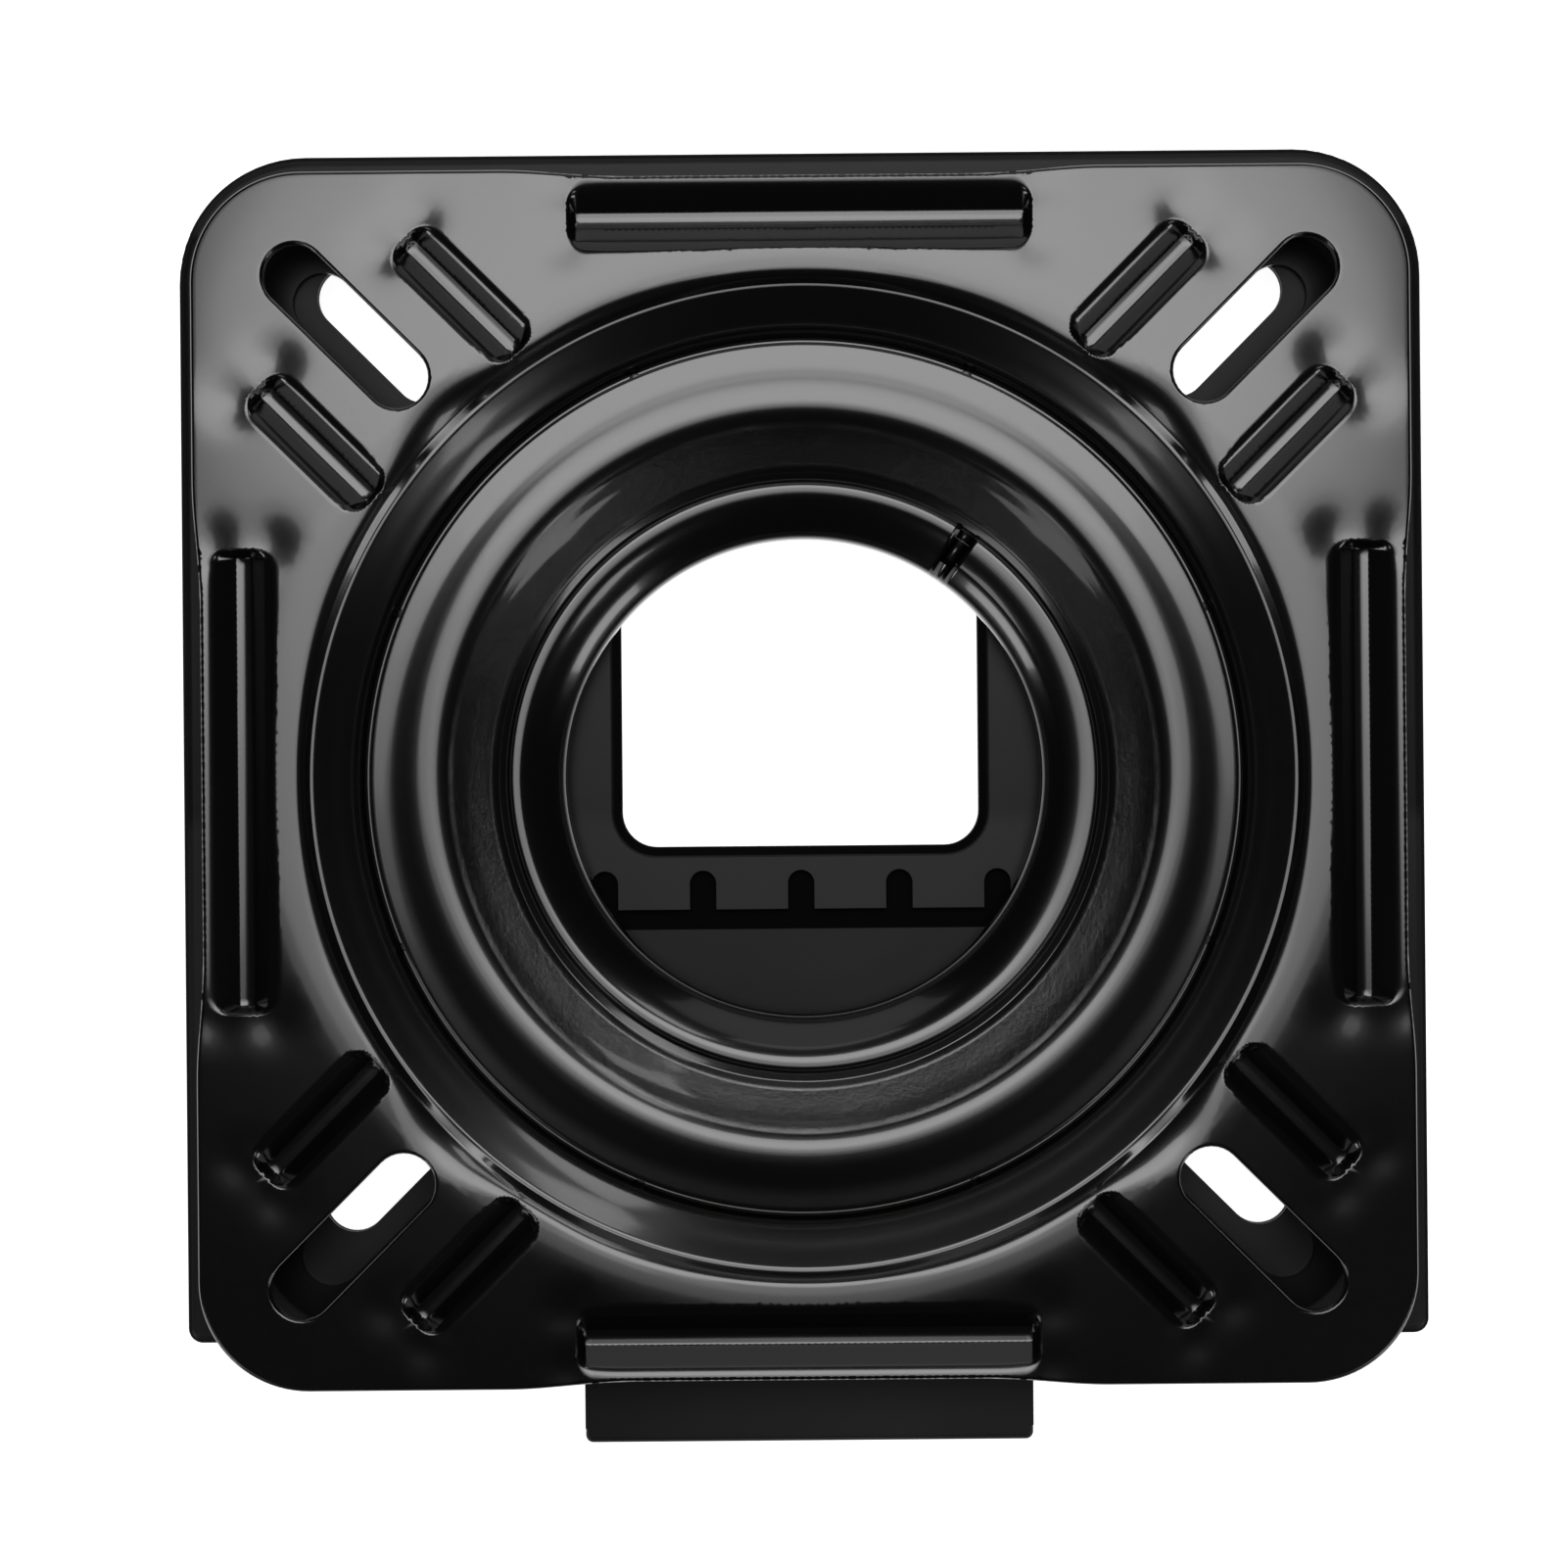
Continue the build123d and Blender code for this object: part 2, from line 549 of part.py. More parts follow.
def main():
    flush = (0, 0)
    grip = 0.05
    parts = {
        "top_plate": top_plate(),
        "clamp_ring": clamp_ring(),
        "hub_sleeve": hub_sleeve(),
        "hub_spacer": hub_spacer(),
        "centre_bush": centre_bush(),
        "glide_ring": glide_ring(),
        "lower_plate": lower_plate(),
        "base_pan": base_pan(),
        "lock_ring": lock_ring(),
        "lock_slide": lock_slide(),
        "lock_tooth": lock_tooth(),
        "slide_guide_left": slide_guide(-1),
        "slide_guide_right": slide_guide(1),
        "friction_leaf": friction_leaf(),
    }
    cage = band(BALL_CIRCLE - 4, BALL_CIRCLE + 4, BALL_Z - 1.8, BALL_Z + 1.8)
    balls = []
    for x, y in spots(BALL_COUNT, BALL_CIRCLE, 0):
        cage -= pin(x, y, BALL_Z - 3, BALL_Z + 3, BALL_D / 2 + FIT)
        balls.append(Pos(x, y, BALL_Z) * Sphere(BALL_D / 2))
    parts["ball_cage"] = cage
    parts["bearing_balls"] = Compound(children=balls)
    low = PAN_TOP - PAN_SHEET
    plate_rivets = [rivet(x, y, low, PLATE_TOP, 3, (5, 1.5), (5.5, 2)) for x, y in RIVET_SPOTS]
    parts["plate_rivets"] = Compound(children=plate_rivets)
    low = FLANGE_LOW - SHEET
    places = spots(8, LOCK_RIVET_R, 22.5)
    ring_rivets = [rivet(x, y, low, FLANGE_TOP, 1.25, (1.8, 1.1), (1.8, 1.1)) for x, y in places]
    parts["lock_ring_rivets"] = Compound(children=ring_rivets)
    top = SLIDE_TOP + 3
    places = [(-TOOTH_RIVET_X, TOOTH_RIVET_Y), (TOOTH_RIVET_X, TOOTH_RIVET_Y)]
    tooth_rivets = [rivet(x, y, SLIDE_LOW + grip, top, 1.5, flush, (2.6, 1)) for x, y in places]
    parts["tooth_rivets"] = Compound(children=tooth_rivets)
    low = CHANNEL_LOW - LEAF_SHEET
    leaf_rivets = [rivet(x, y, low, CHANNEL_TOP - grip, 1.5, (2.6, 1), flush) for x, y in LEAF_RIVETS]
    parts["leaf_rivets"] = Compound(children=leaf_rivets)
    for name, shape in parts.items():
        export_step(shape, f"parts/{name}.step")


main()
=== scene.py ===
"""Boat seat swivel in gloss black pressed steel, seen from straight above."""
import math

import bpy
import numpy as np
from mathutils import Euler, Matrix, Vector
from mathutils.geometry import delaunay_2d_cdt


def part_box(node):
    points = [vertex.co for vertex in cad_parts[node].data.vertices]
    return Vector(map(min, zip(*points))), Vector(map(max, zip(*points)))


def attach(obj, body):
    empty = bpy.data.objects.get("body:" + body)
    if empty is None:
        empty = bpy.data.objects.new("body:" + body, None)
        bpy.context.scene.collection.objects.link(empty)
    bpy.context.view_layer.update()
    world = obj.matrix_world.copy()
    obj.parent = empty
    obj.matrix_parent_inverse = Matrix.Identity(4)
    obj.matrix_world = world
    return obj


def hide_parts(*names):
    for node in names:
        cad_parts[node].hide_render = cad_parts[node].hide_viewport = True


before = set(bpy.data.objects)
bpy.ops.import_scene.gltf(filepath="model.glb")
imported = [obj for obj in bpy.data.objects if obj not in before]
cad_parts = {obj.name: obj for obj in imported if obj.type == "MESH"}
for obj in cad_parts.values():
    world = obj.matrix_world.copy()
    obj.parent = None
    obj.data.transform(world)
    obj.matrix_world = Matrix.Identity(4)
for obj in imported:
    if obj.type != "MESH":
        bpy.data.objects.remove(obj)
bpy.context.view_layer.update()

bl_info = {
    "name": "Boat Seat Swivel",
    "version": (1, 0, 0),
    "blender": (4, 5, 0),
    "location": "View3D > Sidebar > Swivel",
    "description": "Builds the painted pieces of a boat seat swivel round its packed model",
    "category": "Object",
}

MM = 0.001
PLATE_LOW, PLATE_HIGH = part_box("top_plate")
RING_LOW, RING_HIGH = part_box("clamp_ring")
HUB_LOW, HUB_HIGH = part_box("hub_sleeve")

# Fixed forms in millimetres: the pressed plate
PLATE_BORE = 94.0
FLANGE_TOP = 43.0
SLOT_MIDDLE = 166.15
EDGE_GROOVE_OUT = 145.0
EDGE_GROOVE = (58.0, 8.4, 8.8, 2.4)         # half length, inner wall, outer wall, ends
SIDE_GROOVE_OUT, SIDE_GROOVE_APART = 150.3, 26.8
SIDE_GROOVE = (18.9, 6.8, 6.8, 2.2)
GROOVE_FLOOR = 1.6                          # half the floor's width
GROOVE_CROWN = 0.07
MOUTH_CORNER = 5.8
WALL_FOOT, WALL_BROW = 0.07, 0.48
DIMPLE_OUT, DIMPLE_APART, DIMPLE_DEPTH, DIMPLE_SPREAD = 3.6, 7.0, 0.55, 42.0
DRAW_START, DRAW_RUN = 44, 34
RECESS_LIP = 130.2
GROOVES_FROM = 129.0
SHOULDER_SLOPE = 0.45
TAIL_END, TAIL_SLOPE, TAIL_RUN = 143.0, 0.10, 18.0
DRAIN_R, DRAIN_IN, DRAIN_OUT, DRAIN_DEPTH = 114.2, 2.4, 1.5, 1.7
WALL_SLOPES = ((127.4, 0.24), (127.6, 0.13), (128.0, 0.13), (128.3, 1.0), (129.5, 1.0), (130.2, 0.25))
CONE_SLOPES = ((115.6, 0.48), (119.3, 0.48), (121.3, 0.44), (123.5, 0.48), (127.0, 0.47), (127.4, 0.24))
RECESS_ROWS = (99, 104, 109, 111.8, 113, 114.2, 114.9, 115.65, 116.8, 119, 121.5, 124, 126, 126.7, 127.1,
               127.3, 127.6, 127.9, 128.1, 128.3, 128.6, 129.0, 129.5, 129.85, 130.2, 130.6, 131.2, 132,
               133, 134.2, 135.6, 137.4, 139.2, 141)
GROOVE_ROWS = (0, 0.04, 0.1, 0.2, 0.35, 0.5, 0.62, 0.72, 0.8, 0.88, 0.95, 1.02, 1.12)
RIM_ROWS = (0.15, 0.35, 0.65, 1.0, 1.8)
ROW_STEP = 1.7

# The turned pieces, with heights of the ring and flare above the hub's seat
RING_RISE = 8.5
RING_SHEET = 2.5
RING_STEP = ((74.0, 0.0), (76.6, 0.0), (76.9, 0.08), (77.2, 0.22), (79.25, 1.32), (79.32, 1.35),
             (79.5, 1.36), (79.57, 1.39), (81.5, 2.40))
RING_DISH = ((81.7, 2.46), (83.4, 3.14), (85.4, 3.93), (87.4, 4.76), (88.8, 5.42), (89.9, 5.98), (91.0, 6.54),
             (92.0, 7.02), (93.0, 7.46), (94.0, 7.84), (94.8, 8.09), (95.6, 8.28), (96.4, 8.41), (97.2, 8.475),
             (98.2, 8.5), (99.9, 8.47), (101.6, 8.34), (104.0, 8.05), (106.0, 7.83), (107.6, 7.75),
             (110.9, 7.72))
FLARE = ((75.2, 2.1), (74.3, 2.03), (73.2, 1.83), (72.0, 1.46), (70.6, 0.86), (69.2, 0.12), (67.4, -1.02),
         (65.2, -2.85), (63.7, -4.4), (62.85, -5.6), (62.55, -6.8))
FLARE_MIDDLE = 71.0
FLARE_TURNS = (0, 34, 64, 85, 124, 169, 184, 214, 259, 285, 304, 360)
FLARE_DRIFT = (1.0, 1.0, 0.2, 0.6, 1.8, 1.8, 1.2, 0.8, 0.0, -2.2, -3.0, -2.6)
BALL_RING, BALL_COUNT = 104.0, 20
LOCK_RIVET_RING, LOCK_RIVET_MID, LOCK_RIVET_COUNT = 112.4, 40.0, 8
PLATE_RIVET_MID = 25.25

# The light, in metres; each softbox layer has its front edge and share, and lies over the one before
SOFTBOX_HEIGHT, SOFTBOX_REAR, SOFTBOX_HALF, SOFTBOX_LIFT = 1.05, 0.52, 0.38, 0.012
SOFTBOX_LAYERS = ((-0.21, 0.20), (-0.13, 0.28), (-0.01, 0.14), (0.05, 0.17), (0.11, 0.21))


# Settings a user would change

def metres(name, description, default):
    """A length in metres."""
    return bpy.props.FloatProperty(name=name, description=description, default=default, unit="LENGTH")


def degrees(name, description, default):
    """An angle, given in degrees."""
    return bpy.props.FloatProperty(
        name=name, description=description, default=math.radians(default), subtype="ANGLE")


def fraction(name, description, default):
    """A number from 0 to 1."""
    return bpy.props.FloatProperty(name=name, description=description, default=default, min=0, max=1)


def tone(name, description, default):
    """A colour."""
    return bpy.props.FloatVectorProperty(
        name=name, description=description, default=default, subtype="COLOR", size=3, min=0, max=1)


class SwivelPlateSizes(bpy.types.PropertyGroup):
    """Sizes of the pressed top plate, in metres"""
    half_side: metres("Half Side", "From the axis to a flat side", PLATE_HIGH.x)
    corner: metres("Corner", "Radius of the plate's corners", 0.0285)
    draw_in: metres("Draw In", "How far the sides are pulled in beside the edge grooves", 0.0019)
    sheet: metres("Sheet", "Thickness of the steel", 0.003)
    groove_depth: metres("Groove Depth", "Depth of the pressed grooves", 0.0051)
    slot_width: metres("Slot Width", "Width of the diagonal bolt slots", 0.0162)
    slot_span: metres("Slot Span", "Distance between a slot's end centres", 0.0373)
    spacing: metres("Mesh Spacing", "Distance between the plate's mesh points", 0.0026)


class SwivelRingSizes(bpy.types.PropertyGroup):
    """Sizes of the turned pieces, in metres"""
    steps: bpy.props.IntProperty(
        name="Steps", description="Facets round the axis", default=288, min=96, max=512)
    seam_angle: degrees("Seam Angle", "Where the hub sleeve is split", 55.6)
    seam_width: metres("Seam Width", "Width of the split", 0.0040)


class SwivelPaint(bpy.types.PropertyGroup):
    """Colours and finish of the pieces"""
    black: tone("Enamel", "Colour of the black enamel", (0.0011, 0.0011, 0.0012))
    satin: tone("Satin Enamel", "Colour of the semi-gloss base", (0.0110, 0.0110, 0.0114))
    powder: tone("Powder Coat", "Colour of the lock slide", (0.0165, 0.0165, 0.0165))
    gloss: fraction("Enamel Roughness", "Roughness of the black enamel", 0.20)
    clear: fraction("Gloss Layer", "Strength of the enamel's hard top gloss", 0.55)


class SwivelStage(bpy.types.PropertyGroup):
    """Camera and light"""
    height: metres("Camera Height", "Camera above the top plate", 0.720)
    lens: bpy.props.FloatProperty(
        name="Lens", description="Focal length in millimetres", default=64.1)
    roll: degrees("Roll", "Turn of the camera about its view", 0.5)
    light: bpy.props.FloatProperty(
        name="Softbox", description="Brightness of the overhead softbox", default=5.1)
    floor: tone("Floor", "Colour of the floor", (0.80, 0.80, 0.80))


# Shader sockets that add up like numbers

class Wire:
    """A shader socket whose sums and products become Math nodes."""

    def __init__(self, book, socket):
        self.book = book
        self.socket = socket

    def _sum(self, operation, *values):
        made = self.book.node("ShaderNodeMath", {"operation": operation}, dict(enumerate(values)))
        return self.book.out(made)

    def __add__(self, other):
        return self._sum("ADD", self, other)

    def __sub__(self, other):
        return self._sum("SUBTRACT", self, other)

    def __mul__(self, other):
        return self._sum("MULTIPLY", self, other)

    def __radd__(self, other):
        return self._sum("ADD", other, self)

    def __rsub__(self, other):
        return self._sum("SUBTRACT", other, self)

    def __rmul__(self, other):
        return self._sum("MULTIPLY", other, self)

    def root(self):
        """Square root."""
        return self._sum("SQRT", self)

    def low(self, other):
        """The lesser of two values."""
        return self._sum("MINIMUM", self, other)

    def above(self, low, high):
        """Smooth rise from 0 at low to 1 at high."""
        made = self.book.node(
            "ShaderNodeMapRange", {"interpolation_type": "SMOOTHSTEP"},
            {"Value": self, "From Min": low, "From Max": high})
        return self.book.out(made)


class Finish:
    """A material and its nodes."""

    def __init__(self, name, colour, roughness, metallic=0.0):
        self.material = bpy.data.materials.new(name)
        self.material.use_nodes = True
        self.material.diffuse_color = (*colour, 1.0)
        self.tree = self.material.node_tree
        self.tree.nodes.clear()
        self.shader = self.node("ShaderNodeBsdfPrincipled", {}, {
            "Base Color": (*colour, 1.0), "Roughness": roughness, "Metallic": metallic})
        self.end = self.node("ShaderNodeOutputMaterial", {}, {"Surface": self.out(self.shader)})
        self.place = self.out(self.node("ShaderNodeTexCoord", {}, {}), "Object")

    def node(self, kind, settings, values):
        """Adds a node, with its settings set before its sockets."""
        made = self.tree.nodes.new(kind)
        for name, value in settings.items():
            setattr(made, name, value)
        for name, value in values.items():
            self.put(made, name, value)
        return made

    def put(self, node, name, value):
        """Links or sets one socket."""
        socket = node.inputs[name]
        if isinstance(value, Wire):
            self.tree.links.new(value.socket, socket)
        else:
            socket.default_value = value

    def settle(self, values):
        """Links or sets the main shader's sockets."""
        for name, value in values.items():
            self.put(self.shader, name, value)

    def out(self, node, name=0):
        """A node's output as a Wire."""
        return Wire(self, node.outputs[name])

    def part(self, axis):
        """One of the piece's own coordinates."""
        return self.out(self.node("ShaderNodeSeparateXYZ", {}, {"Vector": self.place}), axis)

    def grain(self, scale, detail, rough, stretch=(1, 1, 1)):
        """Noise on the piece's own coordinates, with its scale in 1/m."""
        spread = self.node("ShaderNodeMapping", {}, {"Vector": self.place, "Scale": stretch})
        made = self.node("ShaderNodeTexNoise", {}, {
            "Vector": self.out(spread), "Scale": scale, "Detail": detail, "Roughness": rough})
        return self.out(made)

    def tint(self, amount, first, second):
        """Mix of two colours."""
        made = self.node("ShaderNodeMix", {"data_type": "RGBA"}, {
            "Factor": amount, 6: (*first, 1.0), 7: (*second, 1.0)})
        return self.out(made, 2)

    def bumps(self, *layers):
        """Chain of bumps, each given as height, strength and depth in metres."""
        normal = None
        for height, strength, depth in layers:
            values = {"Height": height, "Strength": strength, "Distance": depth}
            if normal is not None:
                values["Normal"] = normal
            normal = self.out(self.node("ShaderNodeBump", {}, values))
        self.put(self.shader, "Normal", normal)


def enamel(name, scratched=False):
    """Hard gloss enamel with a faint orange peel, scuffed on the ring's dish if asked."""
    paint = bpy.context.scene.swivel_paint
    skin = Finish(name, paint.black, paint.gloss)
    peel = skin.grain(420.0, 2.0, 0.5)
    cloud = skin.grain(14.0, 3.0, 0.5)
    rough = paint.gloss + (cloud - 0.5) * 0.05 + (peel - 0.5) * 0.03
    layers = [(peel, 0.10, 0.00003)]
    if scratched:
        x, y = skin.part("X"), skin.part("Y")
        radius = (x * x + y * y).root()
        dish = radius.above(0.0795, 0.0815) * (1 - radius.above(0.0905, 0.0925))
        fine = skin.grain(900.0, 5.0, 0.7)
        patch = skin.grain(60.0, 3.0, 0.6)
        rough = rough + dish * patch * 0.10
        layers.append((fine * dish, 0.55, 0.00022))
        layers.append((patch * dish, 0.5, 0.0006))
    skin.settle({"Roughness": rough, "Coat Weight": paint.clear, "Coat Roughness": 0.07,
                 "Base Color": skin.tint(cloud, paint.black, [c * 1.5 for c in paint.black])})
    skin.bumps(*layers)
    return skin.material


def satin(name, colour, roughness, grit, shade=None):
    """Semi-gloss or powder finish with fine grit; a height in metres makes all below it near black as painted
    shade, and the pan also gets painted shade beside its opening.
    """
    skin = Finish(name, colour, roughness)
    fine = skin.grain(grit, 4.0, 0.6)
    cloud = skin.grain(11.0, 3.0, 0.5)
    skin.settle({"Roughness": roughness + (cloud - 0.5) * 0.12 + (fine - 0.5) * 0.08})
    if shade:
        # Painted shade: the pan is darker beside its opening than in front of it and at the rear strip, and
        # below the given height a near-black shader stands in for shade.
        painted_shade_beside = skin.part("Y").above(-0.0150, -0.0080)
        rear = skin.part("Y").above(0.1450, 0.1470)
        cloud = cloud * (1 - 0.85 * painted_shade_beside * (1 - rear))
        lit = skin.part("Z").above(shade - 0.0004, shade)
        painted_shade = skin.node("ShaderNodeBsdfPrincipled", {}, {
            "Base Color": (0.0012, 0.0012, 0.0012, 1.0), "Roughness": 0.6, "Specular IOR Level": 0.03})
        mixed = skin.node("ShaderNodeMixShader", {}, {
            "Fac": lit, 1: skin.out(painted_shade), 2: skin.out(skin.shader)})
        skin.put(skin.end, "Surface", skin.out(mixed))
    # For the pan this colour carries the painted shade beside its opening as well as the random cloud tone.
    blotch_and_painted_shade = skin.tint(cloud, [c * 0.3 for c in colour], [c * 1.7 for c in colour])
    skin.settle({"Base Color": blotch_and_painted_shade, "Specular IOR Level": 0.13})
    skin.bumps((fine, 0.22, 0.00006))
    return skin.material


def bare_metal(name, colour, roughness, streak=(1, 1, 1)):
    """Plated or polished metal with fine streaks and faint stains."""
    skin = Finish(name, colour, roughness, 1.0)
    fine = skin.grain(700.0, 4.0, 0.6, streak)
    stain = skin.grain(40.0, 3.0, 0.6)
    skin.settle({"Roughness": roughness + (fine - 0.5) * 0.16 + stain * 0.06,
                 "Base Color": skin.tint(stain, [c * 0.7 for c in colour], colour)})
    skin.bumps((fine, 0.15, 0.00003))
    return skin.material


def moulded(name, colour):
    """Natural nylon with a soft mould grain."""
    skin = Finish(name, colour, 0.42)
    fine = skin.grain(520.0, 3.0, 0.5)
    cloud = skin.grain(25.0, 2.0, 0.5)
    skin.settle({"Roughness": 0.38 + cloud * 0.10,
                 "Base Color": skin.tint(cloud, [c * 0.9 for c in colour], colour),
                 "Subsurface Weight": 0.05, "Subsurface Radius": (0.002, 0.002, 0.0015)})
    skin.bumps((fine, 0.15, 0.00005))
    return skin.material


# Mesh helpers, in millimetres until the mesh is made

def added(name, data):
    """Puts an object with this data into the scene."""
    thing = bpy.data.objects.new(name, data)
    bpy.context.scene.collection.objects.link(thing)
    return thing


def place_piece(name, mesh, body, nodes):
    """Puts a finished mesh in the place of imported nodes."""
    piece = added(name, mesh)
    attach(piece, body)
    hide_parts(*nodes)


def finish_mesh(name, verts, faces, normals, material, body, nodes, slot):
    """Turns points in millimetres into a piece with its own normals."""
    mesh = bpy.data.meshes.new(name)
    mesh.from_pydata([tuple(v) for v in np.asarray(verts) * MM], [], faces)
    mesh.polygons.foreach_set("use_smooth", [True] * len(mesh.polygons))
    mesh.materials.append(material)
    mesh.update()
    mesh.normals_split_custom_set(normals)
    place_piece(name, mesh, body, nodes)


def ramp(t, foot, brow):
    """Rise from 0 to 1, rounded over the first and last part of its run."""
    top = 1.0 / (1.0 - (foot + brow) / 2)
    t = np.clip(t, 0, 1)
    low = top * t * t / (2 * foot)
    high = 1 - top * (1 - t) ** 2 / (2 * brow)
    return np.where(t < foot, low, np.where(t > 1 - brow, high, top * (t - foot / 2)))


def smooth(t):
    """Smoothstep."""
    t = np.clip(t, 0, 1)
    return t * t * (3 - 2 * t)


def rounded_box(qx, qy, corner):
    """Distance from a rounded rectangle, for offsets measured from its corners' centres."""
    return np.hypot(np.maximum(qx, 0), np.maximum(qy, 0)) + np.minimum(np.maximum(qx, qy), 0) - corner


class PlateForm:
    """Heights of the pressed top plate, in millimetres."""

    def __init__(self, sizes, top, bore):
        self.half = sizes.half_side / MM
        self.corner = sizes.corner / MM
        self.draw = sizes.draw_in / MM
        self.depth = sizes.groove_depth / MM
        self.slot_r = sizes.slot_width / MM / 2
        self.slot_half = sizes.slot_span / MM / 2
        self.top = top
        self.bore = bore
        self.grooves = self.groove_list()
        self.wall_r, fall = self.slope_sum(WALL_SLOPES)
        self.wall_share = 1 - fall / fall[-1]
        self.cone_r, fall = self.slope_sum(CONE_SLOPES)
        self.foot_drop = self.top - FLANGE_TOP - fall[-1]
        self.cone_drop = self.top - FLANGE_TOP - fall

    def slope_sum(self, slopes):
        """Radii and the climb so far, from slopes that change evenly between radii."""
        step = 0.02
        radii = np.arange(slopes[0][0], slopes[-1][0] + 1e-6, step)
        slope = np.interp(radii, *zip(*slopes))
        return radii, np.concatenate([[0.0], np.cumsum((slope[1:] + slope[:-1]) / 2 * step)])

    def groove_list(self):
        """Each groove's middle, directions, half length, walls, ends and which ends have dimples."""
        made = []
        for quarter in range(4):
            turn = math.pi / 2 * quarter
            out = (math.cos(turn), math.sin(turn))
            along = (-out[1], out[0])
            spot = (out[0] * EDGE_GROOVE_OUT, out[1] * EDGE_GROOVE_OUT)
            made.append((spot, along, out, *EDGE_GROOVE, (-1, 1)))
            turn += math.pi / 4
            out = (math.cos(turn), math.sin(turn))
            side = (-out[1], out[0])
            for hand in (-1, 1):
                spot = (out[0] * SIDE_GROOVE_OUT + hand * side[0] * SIDE_GROOVE_APART,
                        out[1] * SIDE_GROOVE_OUT + hand * side[1] * SIDE_GROOVE_APART)
                made.append((spot, out, side, *SIDE_GROOVE, (1,)))
        return made

    def pull(self, along):
        """How far a side is drawn in at a distance from its middle."""
        return self.draw * (1 - smooth((along - DRAW_START) / DRAW_RUN))

    def outline_gap(self, x, y):
        """Distance inside the outline."""
        ax, ay = np.abs(x), np.abs(y)
        qx, qy = ax - self.half + self.corner, ay - self.half + self.corner
        return -rounded_box(qx, qy, self.corner) - self.pull(np.where(ax > ay, ay, ax))

    def slot_gap(self, x, y):
        """Distance outside the nearest slot."""
        ax, ay = np.abs(x), np.abs(y)
        u = (ax + ay) / math.sqrt(2) - SLOT_MIDDLE
        v = (ax - ay) / math.sqrt(2)
        return np.hypot(np.maximum(np.abs(u) - self.slot_half, 0), v) - self.slot_r

    def local(self, groove, x, y):
        """Position along and across a groove."""
        spot, along, across = groove[:3]
        dx, dy = x - spot[0], y - spot[1]
        return dx * along[0] + dy * along[1], dx * across[0] + dy * across[1]

    def sunk(self, groove, x, y):
        """How deep one groove is at each point."""
        half, wall_in, wall_out, end, dimpled = groove[3:]
        u, v = self.local(groove, x, y)
        deep, outside = np.zeros_like(x), np.ones_like(x)
        near = (np.abs(u) < half + end + 0.5) & (np.abs(v) < GROOVE_FLOOR + max(wall_in, wall_out) + 0.5)
        t = self.level(u[near], v[near], half, np.where(v[near] > 0, wall_out, wall_in), end)
        crown = GROOVE_CROWN * np.minimum(np.abs(v[near]), GROOVE_FLOOR) ** 2
        deep[near] = self.depth * (1 - ramp(t, WALL_FOOT, WALL_BROW)) - crown * (1 - t)
        outside[near] = smooth(2 * t - 1)
        for sign in dimpled:
            for hand in (-1, 1):
                du = sign * u - half - DIMPLE_OUT
                dv = v - hand * DIMPLE_APART
                deep += DIMPLE_DEPTH * np.exp(-(du * du + dv * dv) / DIMPLE_SPREAD) * outside
        return deep

    def level(self, u, v, half, wall, end):
        """How far up a groove's wall points lie, from 0 at its floor to 1 at its rounded mouth."""
        low, high = np.zeros_like(u), np.ones_like(u)
        for _ in range(14):
            t = (low + high) / 2
            corner = MOUTH_CORNER * t
            qu = np.abs(u) - half - end * t + corner
            qv = np.abs(v) - GROOVE_FLOOR - wall * t + corner
            gap = rounded_box(qu, qv, corner)
            low, high = np.where(gap > 0, t, low), np.where(gap > 0, high, t)
        return (low + high) / 2

    def recess(self, x, y):
        """Drop from the flat into the stepped middle."""
        r = np.hypot(x, y)
        turn = np.degrees(np.abs(np.arctan2(np.abs(y), np.abs(x)) - math.pi / 4))
        # The shoulder runs far out towards the corners and keeps close to the lip beside the edges.
        reach = 131.6 + 9.2 * np.exp(-(turn / 7.5) ** 2) + 1.8 * np.exp(-((turn - 22) / 12) ** 2)
        lip = RECESS_LIP
        out = np.maximum(r, lip)
        shoulder = SHOULDER_SLOPE * np.maximum(reach - out, 0) ** 2 / (2 * (reach - lip))
        shoulder += TAIL_SLOPE * np.maximum(TAIL_END - out, 0) ** 2 / TAIL_RUN
        edge = SHOULDER_SLOPE * (reach - lip) / 2 + TAIL_SLOPE * (TAIL_END - lip) ** 2 / TAIL_RUN
        wall = edge + (self.foot_drop - edge) * np.interp(r, self.wall_r, self.wall_share)
        cone = np.interp(r, self.cone_r, self.cone_drop)
        inner = np.where(r < self.wall_r[0], cone, wall)
        drain = np.where(r < DRAIN_R, (DRAIN_R - r) / DRAIN_IN, (r - DRAIN_R) / DRAIN_OUT)
        return np.where(r > lip, shoulder, inner) + DRAIN_DEPTH * np.clip(1 - drain, 0, 1)

    def height(self, x, y):
        """Height of the top surface."""
        deep = self.recess(x, y)
        cut = np.zeros_like(x)
        for groove in self.grooves:
            cut = np.maximum(cut, self.sunk(groove, x, y))
        soft = np.minimum(2.0, 2.0 * np.minimum(cut, deep)) + 1e-9
        union = np.maximum(cut, deep) + soft / 4 * np.clip(1 - np.abs(cut - deep) / soft, 0, 1) ** 2
        blend = np.where(np.hypot(x, y) > GROOVES_FROM, union, deep)
        near = np.clip(np.minimum(self.outline_gap(x, y), self.slot_gap(x, y)), 0.03, 1.0)
        near = np.minimum(near, np.clip(np.hypot(x, y) - self.bore, 0.03, 1.0))
        edge = 1.0 - np.sqrt(np.maximum(1.0 - (1.0 - near) ** 2, 0))
        return self.top - blend - edge

    def normal(self, x, y):
        """Normals of the top surface."""
        h = 0.06
        dx = (self.height(x + h, y) - self.height(x - h, y)) / (2 * h)
        dy = (self.height(x, y + h) - self.height(x, y - h)) / (2 * h)
        n = np.stack([-dx, -dy, np.ones_like(dx)], 1)
        return n / np.linalg.norm(n, axis=1)[:, None]


def spun(points, turn):
    """Points turned about the axis."""
    c, s = math.cos(turn), math.sin(turn)
    return [(x * c - y * s, x * s + y * c) for x, y in points]


